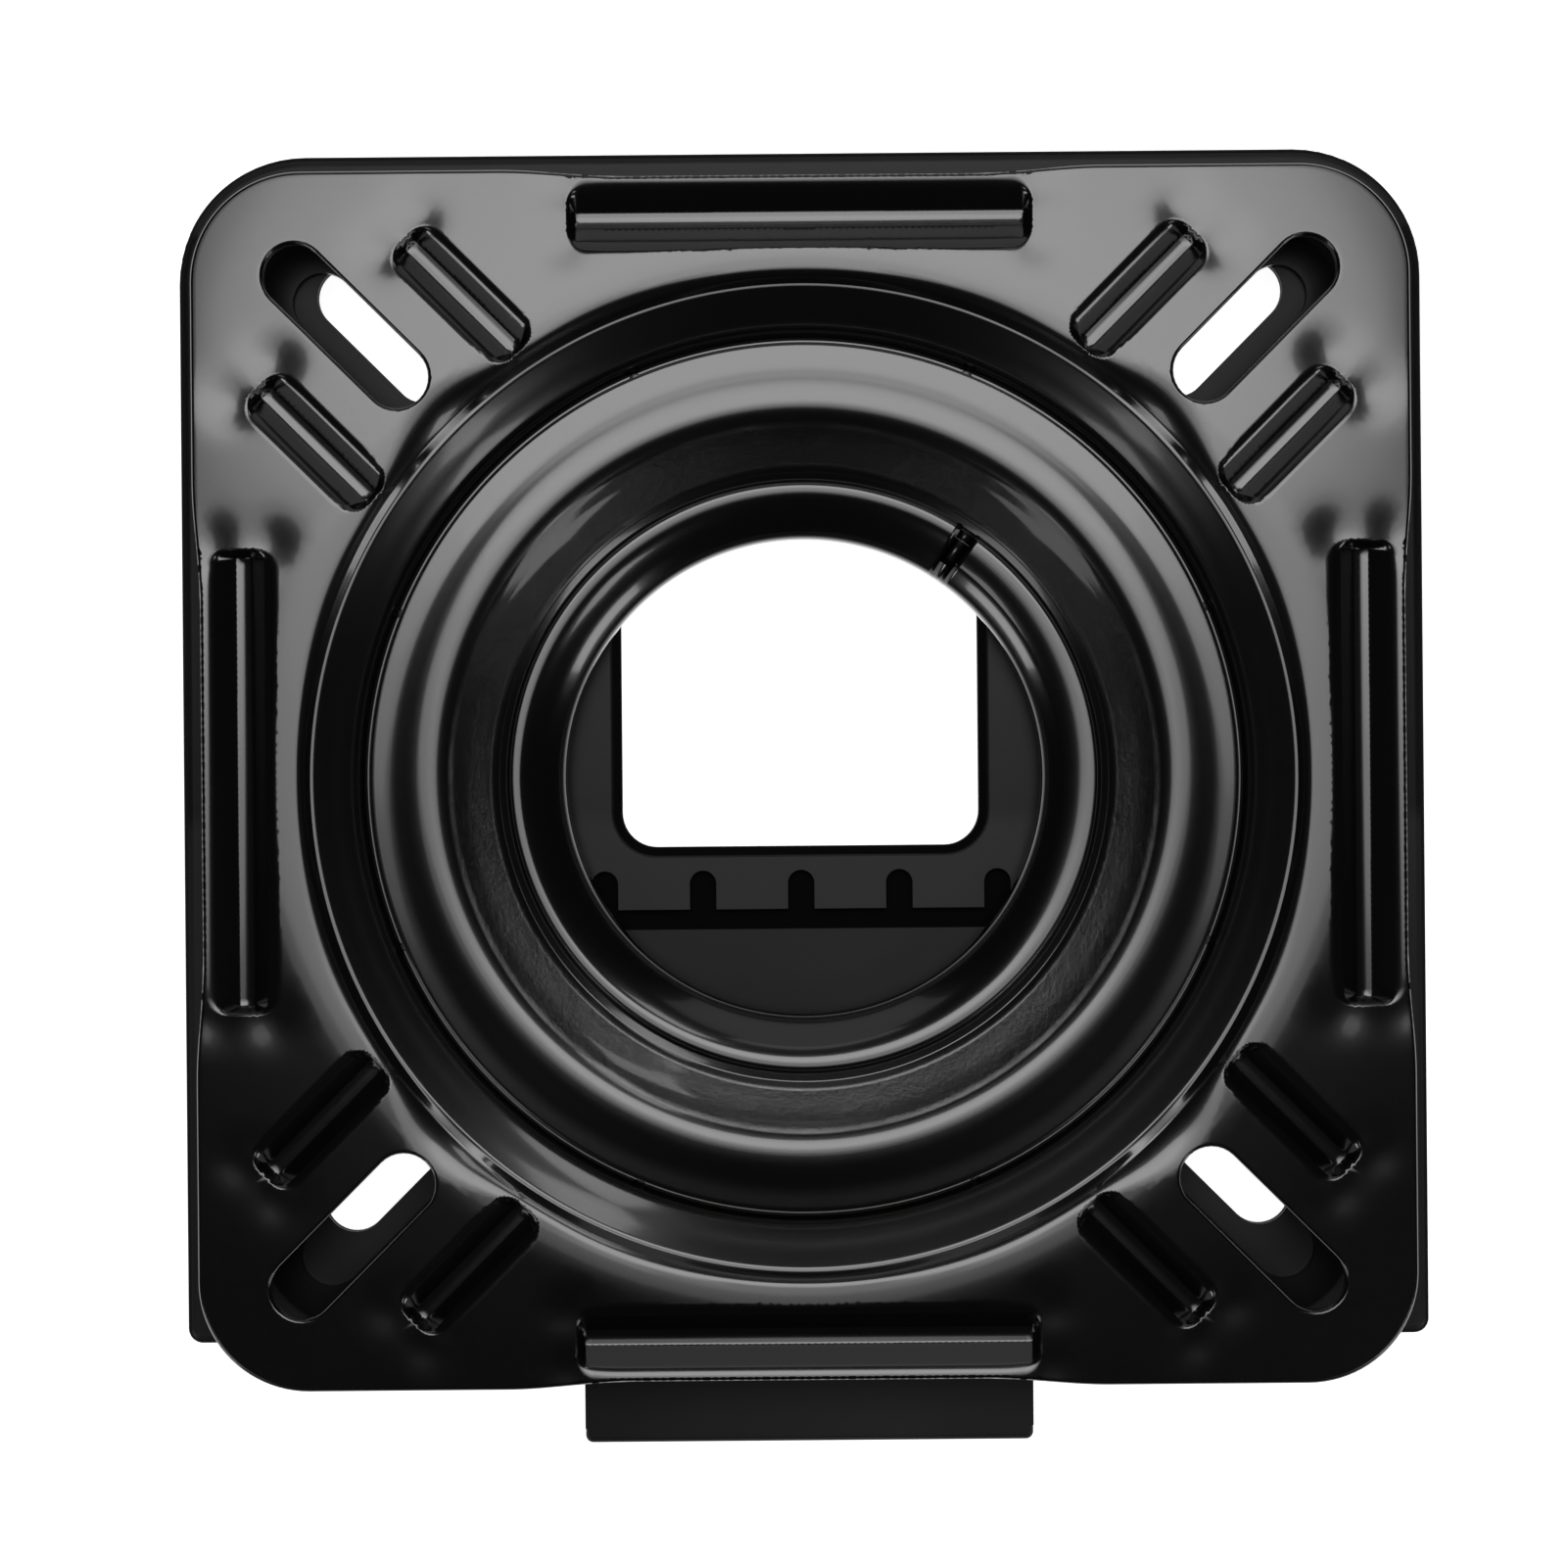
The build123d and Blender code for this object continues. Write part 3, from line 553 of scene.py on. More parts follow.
def outline_loop(form, inset):
    """Points along the outline, moved in."""
    reach = form.half - form.corner
    steps = int(2 * reach / 2.2)
    runs = [-reach + 2 * reach * i / steps for i in range(steps)]
    side = [(form.half - form.pull(abs(t)) - inset, t) for t in runs]
    r = form.corner - inset
    for a in [math.pi / 2 * i / 22 for i in range(22)]:
        side.append((reach + r * math.cos(a), reach + r * math.sin(a)))
    return [p for quarter in range(4) for p in spun(side, math.pi / 2 * quarter)]


def slot_loop(form, grow, quarter):
    """Points round one diagonal slot."""
    r = form.slot_r + grow
    pts = []
    for end in (1, -1):
        for i in range(17):
            a = (-math.pi / 2 + math.pi * i / 16) + (0 if end > 0 else math.pi)
            pts.append((SLOT_MIDDLE + end * form.slot_half + r * math.cos(a), r * math.sin(a)))
        for i in range(1, 16):
            t = end * form.slot_half * (1 - 2 * i / 16)
            pts.append((SLOT_MIDDLE + t, end * r))
    return spun(pts, math.pi / 4 + math.pi / 2 * quarter)


def groove_rows(groove):
    """Points on rows that follow a groove's walls."""
    spot, along, across, half, wall_in, wall_out, end, _ = groove
    rows = []
    for t in GROOVE_ROWS:
        hi, lo = GROOVE_FLOOR + wall_out * t, -GROOVE_FLOOR - wall_in * t
        reach = half + end * t
        r = MOUTH_CORNER * min(t, 1) + 0.02
        corners = []
        for i, (u, v) in enumerate(((reach - r, hi - r), (r - reach, hi - r), (r - reach, lo + r),
                                    (reach - r, lo + r))):
            turns = [math.pi / 2 * (i + k / 8) for k in range(9)]
            corners.append([(u + r * math.cos(a), v + r * math.sin(a)) for a in turns])
        for corner, following in zip(corners, corners[1:] + corners[:1]):
            (au, av), (bu, bv) = corner[-1], following[0]
            n = max(1, int(math.hypot(bu - au, bv - av) / ROW_STEP))
            rows += corner + [(au + (bu - au) * k / n, av + (bv - av) * k / n) for k in range(1, n)]
    n = int(2 * half / ROW_STEP)
    rows += [(-half + 2 * half * k / n, w) for k in range(n + 1) for w in (-0.8, 0, 0.8)]
    return [(spot[0] + u * along[0] + v * across[0], spot[1] + u * along[1] + v * across[1]) for u, v in rows]


def circle(radius, count, turn=0.0):
    """Points round the axis."""
    turns = [turn + 2 * math.pi * i / count for i in range(count)]
    return [(radius * math.cos(a), radius * math.sin(a)) for a in turns]


def spread_points(form, spacing):
    """Boundary loops first, then rows on the pressed shapes, then filling."""
    loops = [outline_loop(form, 0.0), circle(form.bore, 240)]
    loops += [slot_loop(form, 0.0, q) for q in range(4)]
    rows = []
    for inset in RIM_ROWS:
        rows += outline_loop(form, inset)
        rows += circle(form.bore + inset, 240, 0.01 * inset)
        for q in range(4):
            rows += slot_loop(form, inset, q)
    for r in RECESS_ROWS:
        rows += circle(r, 340)
    for groove in form.grooves:
        rows += groove_rows(groove)
    step = spacing * math.sqrt(3) / 2
    count = int(form.half / step) + 1
    span = range(-count, count + 1)
    fill = [((i + 0.5 * (j % 2)) * spacing, j * step) for j in span for i in span]
    return loops, rows, fill


def thin_out(kept, extra, gap):
    """Adds the points that lie clear of those already kept."""
    cells = {}
    for p in kept:
        cells.setdefault((int(p[0] // gap), int(p[1] // gap)), []).append(p)
    for p in extra:
        cx, cy = int(p[0] // gap), int(p[1] // gap)
        close = [q for ix in (cx - 1, cx, cx + 1) for iy in (cy - 1, cy, cy + 1)
                 for q in cells.get((ix, iy), ())
                 if (q[0] - p[0]) ** 2 + (q[1] - p[1]) ** 2 < gap * gap]
        if not close:
            kept.append(p)
            cells.setdefault((cx, cy), []).append(p)


def inside(form, x, y):
    """Whether points lie on the plate."""
    return (form.outline_gap(x, y) > 1e-4) & (form.slot_gap(x, y) > 1e-4) & (np.hypot(x, y) > form.bore - 0.02)


def plate_mesh(form, spacing):
    """Triangles of the plate seen from above."""
    loops, rows, fill = spread_points(form, spacing)
    kept, edges = [], []
    for loop in loops:
        start = len(kept)
        kept += loop
        edges += [(start + i, start + (i + 1) % len(loop)) for i in range(len(loop))]
    rows = [p for p, ok in zip(rows, inside(form, *np.array(rows).T)) if ok]
    thin_out(kept, rows, 0.14)
    fill = [p for p, ok in zip(fill, inside(form, *np.array(fill).T)) if ok]
    thin_out(kept, fill, spacing * 0.62)
    verts, _, faces, *_ = delaunay_2d_cdt([Vector(p) for p in kept], edges, [], 0, 1e-5)
    flat = np.array([tuple(v) for v in verts])
    faces = np.array(faces)
    middle = flat[faces].mean(1)
    gaps = form.outline_gap(*middle.T), form.slot_gap(*middle.T), np.hypot(*middle.T) - form.bore
    faces = faces[np.min(gaps, axis=0) >= 0]
    used = np.unique(faces)
    place = -np.ones(len(flat), int)
    place[used] = np.arange(len(used))
    return flat[used], place[faces]


def rim_edges(faces):
    """Directed edges that only one face has."""
    seen = {e for a, b, c in faces for e in ((a, b), (b, c), (c, a))}
    return [e for e in seen if (e[1], e[0]) not in seen]


def solid_sheet(form, flat, faces, sheet):
    """Closes the plate with its underside and edges."""
    x, y = flat.T
    top = np.column_stack([flat, form.height(x, y)])
    n = form.normal(x, y)
    under = top - [0, 0, sheet]
    faces = faces.tolist()
    rims = rim_edges(faces)
    for i in {i for edge in rims for i in edge}:
        under[i, 2] = min(under[i, 2] + 0.6, top[i, 2] - 0.5)
    count = len(flat)
    verts = np.vstack([top, under])
    shell = [tuple(f) for f in faces] + [(c + count, b + count, a + count) for a, b, c in faces]
    normals = [tuple(n[i]) for f in faces for i in f] + [tuple(-n[i]) for f in faces for i in f[::-1]]
    out = {}
    for a, b in rims:
        d = flat[b] - flat[a]
        d = np.array([d[1], -d[0], 0.0]) / max(np.hypot(*d), 1e-9)
        for i in (a, b):
            out[i] = out.get(i, 0) + d
    for a, b in rims:
        shell.append((b, a, a + count, b + count))
        normals += [tuple(out[i] / np.linalg.norm(out[i])) for i in (b, a, a, b)]
    return verts, shell, normals


def partway(t, t0, t1, p0, p1):
    """Point on the line through two points that are reached at t0 and t1."""
    return (t1 - t) / (t1 - t0) * p0 + (t - t0) / (t1 - t0) * p1


def spline(points, steps):
    """Smooth line through profile points."""
    pts = [np.array(p, float) for p in points]
    pts = [2 * pts[0] - pts[1]] + pts + [2 * pts[-1] - pts[-2]]
    made = []
    for i in range(1, len(pts) - 2):
        p = pts[i - 1:i + 3]
        at = [0.0]
        for a, b in zip(p, p[1:]):
            at.append(at[-1] + np.linalg.norm(b - a) ** 0.5)
        for k in range(steps):
            t = at[1] + (at[2] - at[1]) * k / steps
            first = [partway(t, at[n], at[n + 1], p[n], p[n + 1]) for n in range(3)]
            second = [partway(t, at[n], at[n + 2], first[n], first[n + 1]) for n in range(2)]
            made.append(partway(t, at[1], at[2], *second))
    made.append(pts[-2])
    return made


def arc(centre, radius, start, end, steps):
    """Arc of a profile, with angles in degrees."""
    turns = [math.radians(start + (end - start) * k / steps) for k in range(steps + 1)]
    return [np.array([centre[0] + radius * math.cos(a), centre[1] + radius * math.sin(a)]) for a in turns]


def profile_normals(profile, sharp):
    """Normals at the start and end of each run of a closed profile that goes anticlockwise."""
    p = np.array(profile)
    d = np.roll(p, -1, 0) - p
    length = np.linalg.norm(d, axis=1)[:, None]
    n = np.stack([d[:, 1], -d[:, 0]], 1) / np.maximum(length, 1e-9)
    before, after = np.roll(n, 1, 0), n
    mixed = before / np.maximum(np.roll(length, 1, 0), 1e-6) + after / np.maximum(length, 1e-6)
    mixed /= np.maximum(np.linalg.norm(mixed, axis=1), 1e-9)[:, None]
    bend = (before * after).sum(1) < math.cos(math.radians(sharp))
    start = np.where(bend[:, None], after, mixed)
    end = np.where(np.roll(bend, -1)[:, None], after, np.roll(mixed, -1, 0))
    return start, end


def turned(profile, angles, sharp=28.0, closed=True, shift=None):
    """Turns a closed profile about the axis through the given angles."""
    profile = [np.array(p, float) for p in profile]
    area = sum(a[0] * b[1] - b[0] * a[1] for a, b in zip(profile, profile[1:] + profile[:1]))
    if area < 0:
        profile = profile[::-1]
    start, end = profile_normals(profile, sharp)
    count = len(profile)
    verts, faces, normals = [], [], []
    ways = [(math.cos(a), math.sin(a)) for a in angles]
    for angle, (c, s) in zip(angles, ways):
        for p in profile:
            r, z = p if shift is None else shift(p[0], p[1], angle)
            verts.append((r * c, r * s, z))
    rings = len(angles)
    last = rings if closed else rings - 1
    for j in range(last):
        k = (j + 1) % rings
        for i in range(count):
            n = (i + 1) % count
            faces.append((j * count + i, k * count + i, k * count + n, j * count + n))
            for at, v in ((j, start[i]), (k, start[i]), (k, end[i]), (j, end[i])):
                normals.append((v[0] * ways[at][0], v[0] * ways[at][1], v[1]))
    if not closed:
        for j, way in ((0, -1), (rings - 1, 1)):
            c, s = ways[j]
            cap = [j * count + i for i in range(count)]
            faces.append(tuple(cap if way > 0 else cap[::-1]))
            normals += [(-s * way, c * way, 0.0)] * count
    return verts, faces, normals


def joined(*parts):
    """Joins meshes given as points, faces and normals."""
    verts, faces, normals = [], [], []
    for v, f, n in parts:
        start = len(verts)
        verts += list(v)
        faces += [tuple(i + start for i in face) for face in f]
        normals += list(n)
    return verts, faces, normals


# Pieces

class SWIVEL_OT_top_plate(bpy.types.Operator):
    """Press the turning top plate with its grooves, slots and stepped middle"""
    bl_idname = "swivel.top_plate"
    bl_label = "Top Plate"

    def execute(self, context):
        sizes = context.scene.swivel_plate
        form = PlateForm(sizes, PLATE_HIGH.z / MM, PLATE_BORE)
        flat, faces = plate_mesh(form, sizes.spacing / MM)
        parts = solid_sheet(form, flat, faces, sizes.sheet / MM)
        finish_mesh("top_plate_pressed", *parts, enamel("gloss enamel plate"), "turntable",
                    ["top_plate"], "gloss_black")
        return {"FINISHED"}


class SWIVEL_OT_clamp_ring(bpy.types.Operator):
    """Turn the dished clamp ring"""
    bl_idname = "swivel.clamp_ring"
    bl_label = "Clamp Ring"

    def execute(self, context):
        top = RING_HIGH.z / MM
        seat = top - RING_RISE
        upper = [(r, seat + z) for r, z in RING_STEP]
        upper += spline([(r, seat + z) for r, z in RING_DISH], 6)
        upper += arc((111.6, top - 1.58), 0.8, 90, 0, 8)
        low = top - RING_SHEET
        lower = [(112.4, low + 0.5), (111.9, low), (101.4, low)]
        lower += spline([(100.8, low - 0.02), (97.0, low - 0.3), (94.0, low - 1.1), (90.6, seat + 2.9),
                         (86.6, seat + 1.2), (82.0, seat - 0.7), (80.2, seat - RING_SHEET)], 3)
        lower += [(74.0, seat - RING_SHEET)]
        steps = context.scene.swivel_rings.steps
        angles = [2 * math.pi * i / steps for i in range(steps)]
        parts = turned(upper + lower, angles)
        finish_mesh("clamp_ring_dished", *parts, enamel("gloss enamel ring", True), "base",
                    ["clamp_ring"], "gloss_black")
        return {"FINISHED"}


class SWIVEL_OT_hub(bpy.types.Operator):
    """Turn the flared hub sleeve and split its flare"""
    bl_idname = "swivel.hub"
    bl_label = "Hub Sleeve"

    def execute(self, context):
        rings = context.scene.swivel_rings
        seat = RING_HIGH.z / MM - RING_RISE
        low = HUB_LOW.z / MM
        flare = arc((75.9, seat + 1.5), 0.6, 0, 90, 5)
        flare += spline([(r, seat + z) for r, z in FLARE], 6)
        tube = [(62.5, seat - 7.6), (62.5, low + 4.4)]
        tube += arc((66.7, low + 4.2), 4.2, 180, 270, 8)
        tube += [(72.0, low), (72.0, low + 2.2), (65.2, low + 2.2), (64.7, low + 2.8),
                 (64.7, seat - 6.4), (65.2, seat - 5.6), (66.6, seat - 4.3)]
        skirt = [(70.4, seat - 1.7), (72.4, seat - 0.5), (73.8, seat), (76.5, seat)]
        gap = rings.seam_width / MM / 2 / FLARE_MIDDLE
        first = rings.seam_angle + gap
        angles = [first + (2 * math.pi - 2 * gap) * i / rings.steps for i in range(rings.steps + 1)]
        body = turned(flare + tube + skirt, angles, closed=False, shift=self.pressed(rings.seam_angle))
        # The throat is whole, and a sill closes the split below the flare.
        throat = [p for p in flare if p[0] < 66.9] + tube[:-1] + [(66.4, seat - 4.4)]
        bridge = turned(throat, [first - 2 * gap, first - gap, first], closed=False)
        under = [(76.4, seat + 1.4)] + [(r, z - 2.2) for r, z in flare if 66.0 < r < 73.6]
        under += [(r, z - 0.8) for r, z in reversed(under)]
        sill = turned(under, [first - 3 * gap, first - gap, first + gap], closed=False)
        lumps = self.lumps(rings.seam_angle, seat)
        parts = joined(body, bridge, sill, lumps)
        finish_mesh("hub_sleeve_flared", *parts, enamel("gloss enamel hub"), "base",
                    ["hub_sleeve"], "gloss_black")
        return {"FINISHED"}

    def pressed(self, seam):
        """The flare's ends were pressed unevenly, so its roll wanders round the axis."""
        def shift(r, z, angle):
            turn = math.degrees(angle - seam) % 360.0
            drift = np.interp(turn, FLARE_TURNS, FLARE_DRIFT)
            share = math.exp(-((r - 71.2) / 2.4) ** 2) if z > 38 else 0.0
            return r + drift * share, z
        return shift

    def lumps(self, seam, seat):
        """Torn metal in the split."""
        verts, faces, normals = [], [], []
        rng = np.random.default_rng(7)
        for i in range(5):
            r = 68.4 + 1.5 * i
            z = seat - 4.3 + 0.7 * i
            turn = seam + (rng.random() - 0.5) * 0.02
            size = np.array([0.5, 0.35, 0.6]) * (0.6 + 0.4 * rng.random())
            lump = np.array([[a, b, c] for a in (-1, 1) for b in (-1, 1) for c in (-1, 1)], float)
            lump = lump * size * (0.75 + 0.35 * rng.random((8, 3)))
            start = len(verts)
            flat = spun([(r + x, y) for x, y, _ in lump], turn)
            verts += [(x, y, z + p[2]) for (x, y), p in zip(flat, lump)]
            for f in ((0, 1, 3, 2), (4, 6, 7, 5), (0, 4, 5, 1), (2, 3, 7, 6), (0, 2, 6, 4), (1, 5, 7, 3)):
                a, b, d = (np.array(verts[start + f[k]]) for k in (0, 1, 2))
                n = np.cross(b - a, d - a)
                n /= np.linalg.norm(n)
                faces.append(tuple(start + k for k in f))
                normals += [tuple(n)] * 4
        return verts, faces, normals


def scatter_tree(name, domed):
    """Geometry Nodes tree that puts a ball, or a domed rivet, on each point it is given."""
    tree = bpy.data.node_groups.new(name, "GeometryNodeTree")
    sockets = {}
    for label, kind in (("Geometry", "Geometry"), ("Radius", "Float"), ("Head Radius", "Float"),
                        ("Head Height", "Float"), ("Length", "Float"), ("Material", "Material")):
        made = tree.interface.new_socket(label, in_out="INPUT", socket_type="NodeSocket" + kind)
        sockets[label] = made.identifier
    tree.interface.new_socket("Geometry", in_out="OUTPUT", socket_type="NodeSocketGeometry")

    def add(kind, inputs, **settings):
        """Adds a node whose inputs are plain values or another node and its output."""
        made = tree.nodes.new(kind)
        for key, value in settings.items():
            setattr(made, key, value)
        for key, value in inputs.items():
            if isinstance(value, tuple):
                tree.links.new(value[0].outputs[value[1]], made.inputs[key])
            else:
                made.inputs[key].default_value = value
        return made

    start = add("NodeGroupInput", {})
    if domed:
        shank = add("GeometryNodeMeshCylinder", {
            "Vertices": 24, "Radius": (start, "Radius"), "Depth": (start, "Length")})
        shape = add("GeometryNodeJoinGeometry", {"Geometry": (shank, "Mesh")})
        size = add("ShaderNodeCombineXYZ", {
            "X": (start, "Head Radius"), "Y": (start, "Head Radius"), "Z": (start, "Head Height")})
        for way in (0.5, -0.5):
            head = add("GeometryNodeMeshUVSphere", {"Segments": 28, "Rings": 12, "Radius": 1.0})
            half = add("ShaderNodeMath", {0: (start, "Length"), 1: way}, operation="MULTIPLY")
            lift = add("ShaderNodeCombineXYZ", {"Z": (half, "Value")})
            move = add("GeometryNodeTransform", {
                "Geometry": (head, "Mesh"), "Scale": (size, "Vector"), "Translation": (lift, "Vector")})
            tree.links.new(move.outputs["Geometry"], shape.inputs["Geometry"])
    else:
        shape = add("GeometryNodeMeshIcoSphere", {"Subdivisions": 4, "Radius": (start, "Radius")})
    put = add("GeometryNodeInstanceOnPoints", {"Points": (start, "Geometry"), "Instance": (shape, 0)})
    real = add("GeometryNodeRealizeInstances", {"Geometry": (put, "Instances")})
    shade = add("GeometryNodeSetShadeSmooth", {"Geometry": (real, "Geometry")})
    paint = add("GeometryNodeSetMaterial", {"Geometry": (shade, "Geometry"), "Material": (start, "Material")})
    add("NodeGroupOutput", {"Geometry": (paint, "Geometry")})
    return tree, sockets


def scatter(name, tree, sockets, points, values, body, node):
    """Runs the tree on a set of points and keeps the result as a plain mesh."""
    mesh = bpy.data.meshes.new(name + "_points")
    mesh.from_pydata([tuple(p) for p in np.array(points) * MM], [], [])
    carrier = added(name + "_points", mesh)
    work = carrier.modifiers.new("scatter", "NODES")
    work.node_group = tree
    for label, value in values.items():
        work[sockets[label]] = value
    bpy.context.view_layer.update()
    graph = bpy.context.evaluated_depsgraph_get()
    result = bpy.data.meshes.new_from_object(carrier.evaluated_get(graph))
    result.name = name
    bpy.data.objects.remove(carrier)
    if not result.materials:
        result.materials.append(values["Material"])
    place_piece(name, result, body, [node])


class SWIVEL_OT_balls(bpy.types.Operator):
    """Lay the bearing balls in their race"""
    bl_idname = "swivel.balls"
    bl_label = "Bearing Balls"

    def execute(self, context):
        tree, sockets = scatter_tree("balls on points", False)
        low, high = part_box("bearing_balls")
        points = [(x, y, (low.z + high.z) / 2 / MM) for x, y in circle(BALL_RING, BALL_COUNT)]
        polished = bare_metal("polished bearing steel", (0.72, 0.72, 0.74), 0.08)
        scatter("bearing_balls_round", tree, sockets, points,
                {"Radius": 0.003175, "Material": polished}, "ball_train", "bearing_balls")
        return {"FINISHED"}


class SWIVEL_OT_rivets(bpy.types.Operator):
    """Set the domed rivets of the lower plate and of the lock ring"""
    bl_idname = "swivel.rivets"
    bl_label = "Rivets"

    def execute(self, context):
        paint = context.scene.swivel_paint
        tree, sockets = scatter_tree("domed rivets on points", True)
        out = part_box("plate_rivets")[1].x / MM - 5.5
        spots = [(s * x, e * y, PLATE_RIVET_MID) for x, y in ((out, 60.0), (80.0, out))
                 for s in (-1, 1) for e in (-1, 1)]
        scatter("plate_rivets_domed", tree, sockets, spots,
                {"Radius": 0.003, "Head Radius": 0.0053, "Head Height": 0.0018, "Length": 0.0055,
                 "Material": satin("satin enamel rivet", paint.satin, 0.34, 600.0)},
                "base", "plate_rivets")
        spots = [(x, y, LOCK_RIVET_MID) for x, y in
                 circle(LOCK_RIVET_RING, LOCK_RIVET_COUNT, math.radians(22.5))]
        scatter("lock_ring_rivets_domed", tree, sockets, spots,
                {"Radius": 0.00125, "Head Radius": 0.0018, "Head Height": 0.0010, "Length": 0.006,
                 "Material": bare_metal("plated rivet steel", (0.46, 0.46, 0.45), 0.32)},
                "turntable", "lock_ring_rivets")
        return {"FINISHED"}


def dress(names, material):
    """Gives CAD nodes a finish."""
    for name in names:
        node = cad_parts[name]
        if not node.material_slots:
            raise RuntimeError(f"{name} has no material slot")
        for slot in node.material_slots:
            slot.material = material


class SWIVEL_OT_finishes(bpy.types.Operator):
    """Paint the base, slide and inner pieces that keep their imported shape"""
    bl_idname = "swivel.finishes"
    bl_label = "Finishes"

    def execute(self, context):
        paint = context.scene.swivel_paint
        # The pan's finish has painted shade: near black below 24.7 mm and darker beside its opening.
        dress(["base_pan"], satin("satin enamel pan with painted shade", [c * 1.75 for c in paint.satin], 0.36, 650.0, 0.0247))
        dress(["lower_plate"], satin("satin enamel lower plate", [c * 0.3 for c in paint.satin], 0.32, 650.0))
        dress(["lock_slide"], satin("powder coated slide", paint.powder, 0.48, 1100.0))
        steel = bare_metal("plated steel", (0.48, 0.48, 0.47), 0.34)
        dress(["hub_spacer", "lock_ring", "lock_tooth", "tooth_rivets", "leaf_rivets"], steel)
        dress(["friction_leaf"], bare_metal("blued spring steel", (0.16, 0.17, 0.20), 0.30, (1, 6, 1)))
        nylon = moulded("natural nylon", (0.70, 0.67, 0.60))
        dress(["centre_bush", "glide_ring", "ball_cage", "slide_guide_left", "slide_guide_right"], nylon)
        return {"FINISHED"}


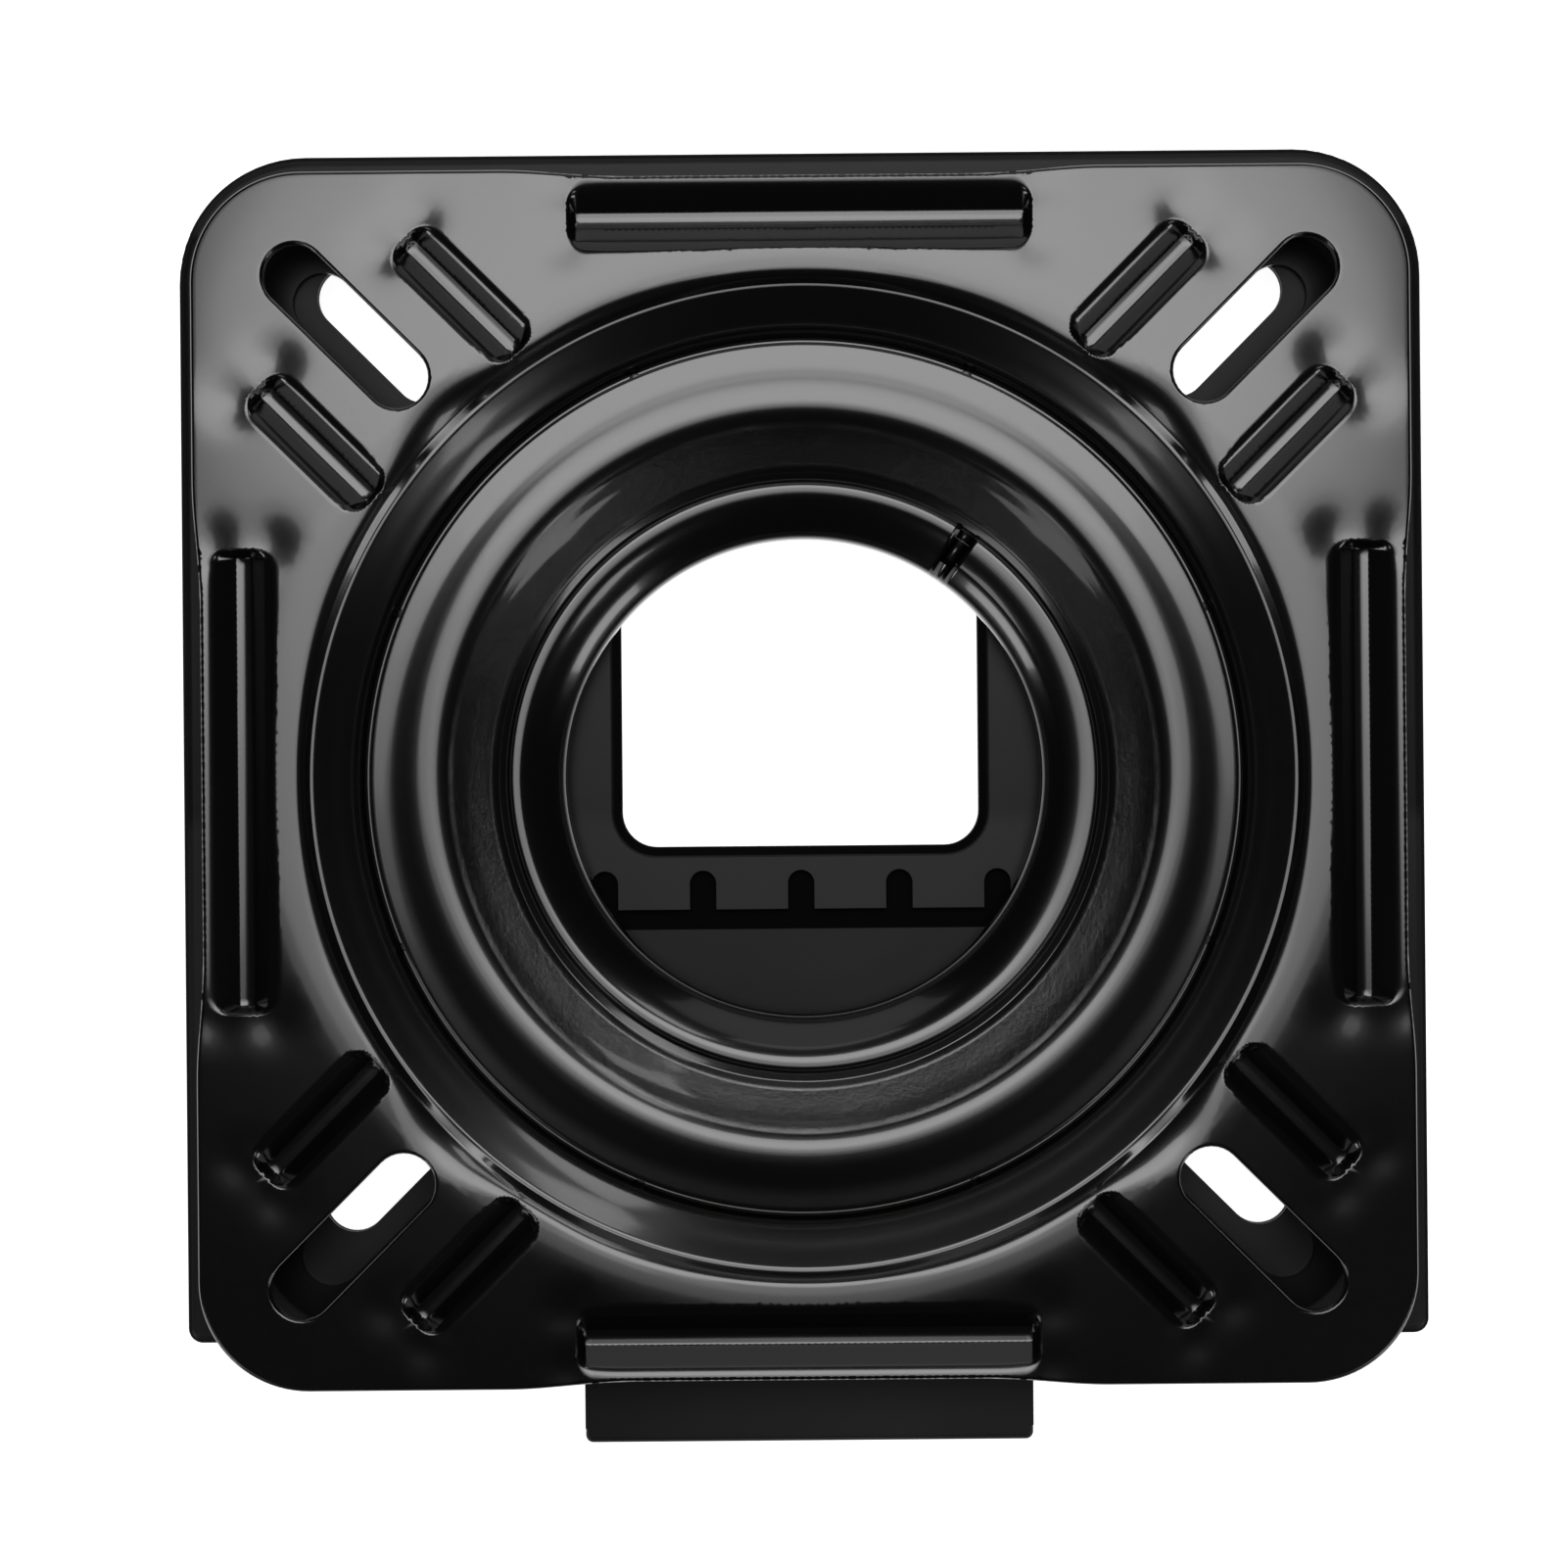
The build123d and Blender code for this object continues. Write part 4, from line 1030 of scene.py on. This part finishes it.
class SWIVEL_OT_stage(bpy.types.Operator):
    """Set the floor, the soft light and the camera"""
    bl_idname = "swivel.stage"
    bl_label = "Stage"

    def execute(self, context):
        scene = context.scene
        look = scene.swivel_stage
        self.floor(look)
        self.lights(look)
        self.camera(scene, look)
        self.sky(scene)
        scene.view_settings.view_transform = "Standard"
        return {"FINISHED"}

    def seen(self, book):
        """1 for camera, glossy and transmission rays."""
        path = book.node("ShaderNodeLightPath", {}, {})
        both = book.out(path, "Is Camera Ray") + book.out(path, "Is Glossy Ray")
        return (both + book.out(path, "Is Transmission Ray")).low(1.0)

    def floor(self, look):
        """Pale floor that shows white and keeps the shadow."""
        skin = Finish("pale floor", look.floor, 0.9)
        glow = skin.node("ShaderNodeEmission", {}, {"Color": (1, 1, 1, 1), "Strength": 0.955})
        both = skin.node("ShaderNodeAddShader", {}, {0: skin.out(glow), 1: skin.out(skin.shader)})
        mixed = skin.node("ShaderNodeMixShader", {}, {
            "Fac": self.seen(skin), 1: skin.out(skin.shader), 2: skin.out(both)})
        skin.put(skin.end, "Surface", skin.out(mixed))
        mesh = bpy.data.meshes.new("floor")
        mesh.from_pydata([(-6, -6, 0), (6, -6, 0), (6, 6, 0), (-6, 6, 0)], [], [(0, 1, 2, 3)])
        mesh.materials.append(skin.material)
        plane = added("floor", mesh)

    def panel(self, name, centre, size, radiance, aim=None, shape="RECTANGLE"):
        """One soft light with its power worked out from its radiance, shining straight down unless aimed."""
        data = bpy.data.lights.new(name, "AREA")
        data.shape = shape
        data.size, data.size_y = size
        area = size[0] * size[1] * (math.pi / 4 if shape == "ELLIPSE" else 1)
        data.energy = radiance * math.pi * area
        lamp = added(name, data)
        lamp.location = centre
        way = Vector(aim or (*centre[:2], 0)) - Vector(centre)
        lamp.rotation_euler = way.to_track_quat("-Z", "Y").to_euler()

    def lights(self, look):
        """Overhead softbox that fades towards the front, lights in front and behind, low fill behind."""
        z, bright = SOFTBOX_HEIGHT, look.light
        for i, (front, share) in enumerate(SOFTBOX_LAYERS):
            centre = (0, (front + SOFTBOX_REAR) / 2, z + SOFTBOX_LIFT * i)
            self.panel(f"softbox {i}", centre, (2 * SOFTBOX_HALF, SOFTBOX_REAR - front), bright * share,
                       shape="ELLIPSE")
        for side, power in ((1, 0.8), (-1, 0.55)):
            self.panel(f"front {side}", (0.66 * side, -0.66, z), (0.34, 0.26), bright * power)
            self.panel(f"low {side}", (1.23 * side, -0.96, 0.42), (0.66, 0.34), bright * 0.9, (0, 0, 0.05))
        self.panel("rear right", (0.40, 0.67, z), (0.26, 0.18), bright * 0.8)
        self.panel("rear", (-0.05, 1.04, z), (0.7, 0.18), bright * 0.18)
        self.panel("rear fill", (0, 1.9, 0.9), (2.2, 1.2), bright * 0.09, (0, 0, 0.05))

    def camera(self, scene, look):
        """Camera above the plate, looking straight down."""
        data = bpy.data.cameras.new("camera")
        data.lens = look.lens
        data.sensor_width = 36.0
        data.shift_x = -0.0091
        data.shift_y = -0.0378
        data.clip_start = 0.01
        eye = added("camera", data)
        eye.location = (-0.0014, 0.0136, PLATE_HIGH.z + look.height)
        eye.rotation_euler = Euler((0, 0, -look.roll))
        scene.camera = eye

    def sky(self, scene):
        """Dim studio walls that show white to the camera."""
        world = bpy.data.worlds.new("studio")
        world.use_nodes = True
        tree = world.node_tree
        tree.nodes.clear()
        path = tree.nodes.new("ShaderNodeLightPath")
        mix = tree.nodes.new("ShaderNodeMixShader")
        end = tree.nodes.new("ShaderNodeOutputWorld")
        tree.links.new(path.outputs["Is Camera Ray"], mix.inputs["Fac"])
        for i, shade in ((1, 0.02), (2, 1)):
            wall = tree.nodes.new("ShaderNodeBackground")
            wall.inputs["Color"].default_value = (shade, shade, shade, 1)
            tree.links.new(wall.outputs[0], mix.inputs[i])
        tree.links.new(mix.outputs[0], end.inputs["Surface"])
        scene.world = world


class SWIVEL_PT_panel(bpy.types.Panel):
    """Sidebar panel with the swivel's sizes and steps"""
    bl_idname = "SWIVEL_PT_panel"
    bl_label = "Boat Seat Swivel"
    bl_space_type = "VIEW_3D"
    bl_region_type = "UI"
    bl_category = "Swivel"

    def draw(self, context):
        for settings in (context.scene.swivel_plate, context.scene.swivel_rings,
                         context.scene.swivel_paint, context.scene.swivel_stage):
            box = self.layout.box()
            for name in settings.bl_rna.properties.keys():
                if name not in ("rna_type", "name"):
                    box.prop(settings, name)
        for operator in OPERATORS:
            self.layout.operator(operator.bl_idname)


OPERATORS = (SWIVEL_OT_top_plate, SWIVEL_OT_clamp_ring, SWIVEL_OT_hub, SWIVEL_OT_balls,
             SWIVEL_OT_rivets, SWIVEL_OT_finishes, SWIVEL_OT_stage)
GROUPS = {"swivel_plate": SwivelPlateSizes, "swivel_rings": SwivelRingSizes,
          "swivel_paint": SwivelPaint, "swivel_stage": SwivelStage}


def register():
    """Registers the settings, operators and panel."""
    for name, group in GROUPS.items():
        bpy.utils.register_class(group)
        setattr(bpy.types.Scene, name, bpy.props.PointerProperty(type=group))
    for item in (*OPERATORS, SWIVEL_PT_panel):
        bpy.utils.register_class(item)


def unregister():
    """Takes them out again."""
    for item in (SWIVEL_PT_panel, *reversed(OPERATORS)):
        bpy.utils.unregister_class(item)
    for name, group in GROUPS.items():
        delattr(bpy.types.Scene, name)
        bpy.utils.unregister_class(group)


def main():
    """Builds every piece and the stage."""
    register()
    bpy.ops.swivel.top_plate()
    bpy.ops.swivel.clamp_ring()
    bpy.ops.swivel.hub()
    bpy.ops.swivel.balls()
    bpy.ops.swivel.rivets()
    bpy.ops.swivel.finishes()
    bpy.ops.swivel.stage()


if __name__ == "__main__":
    main()
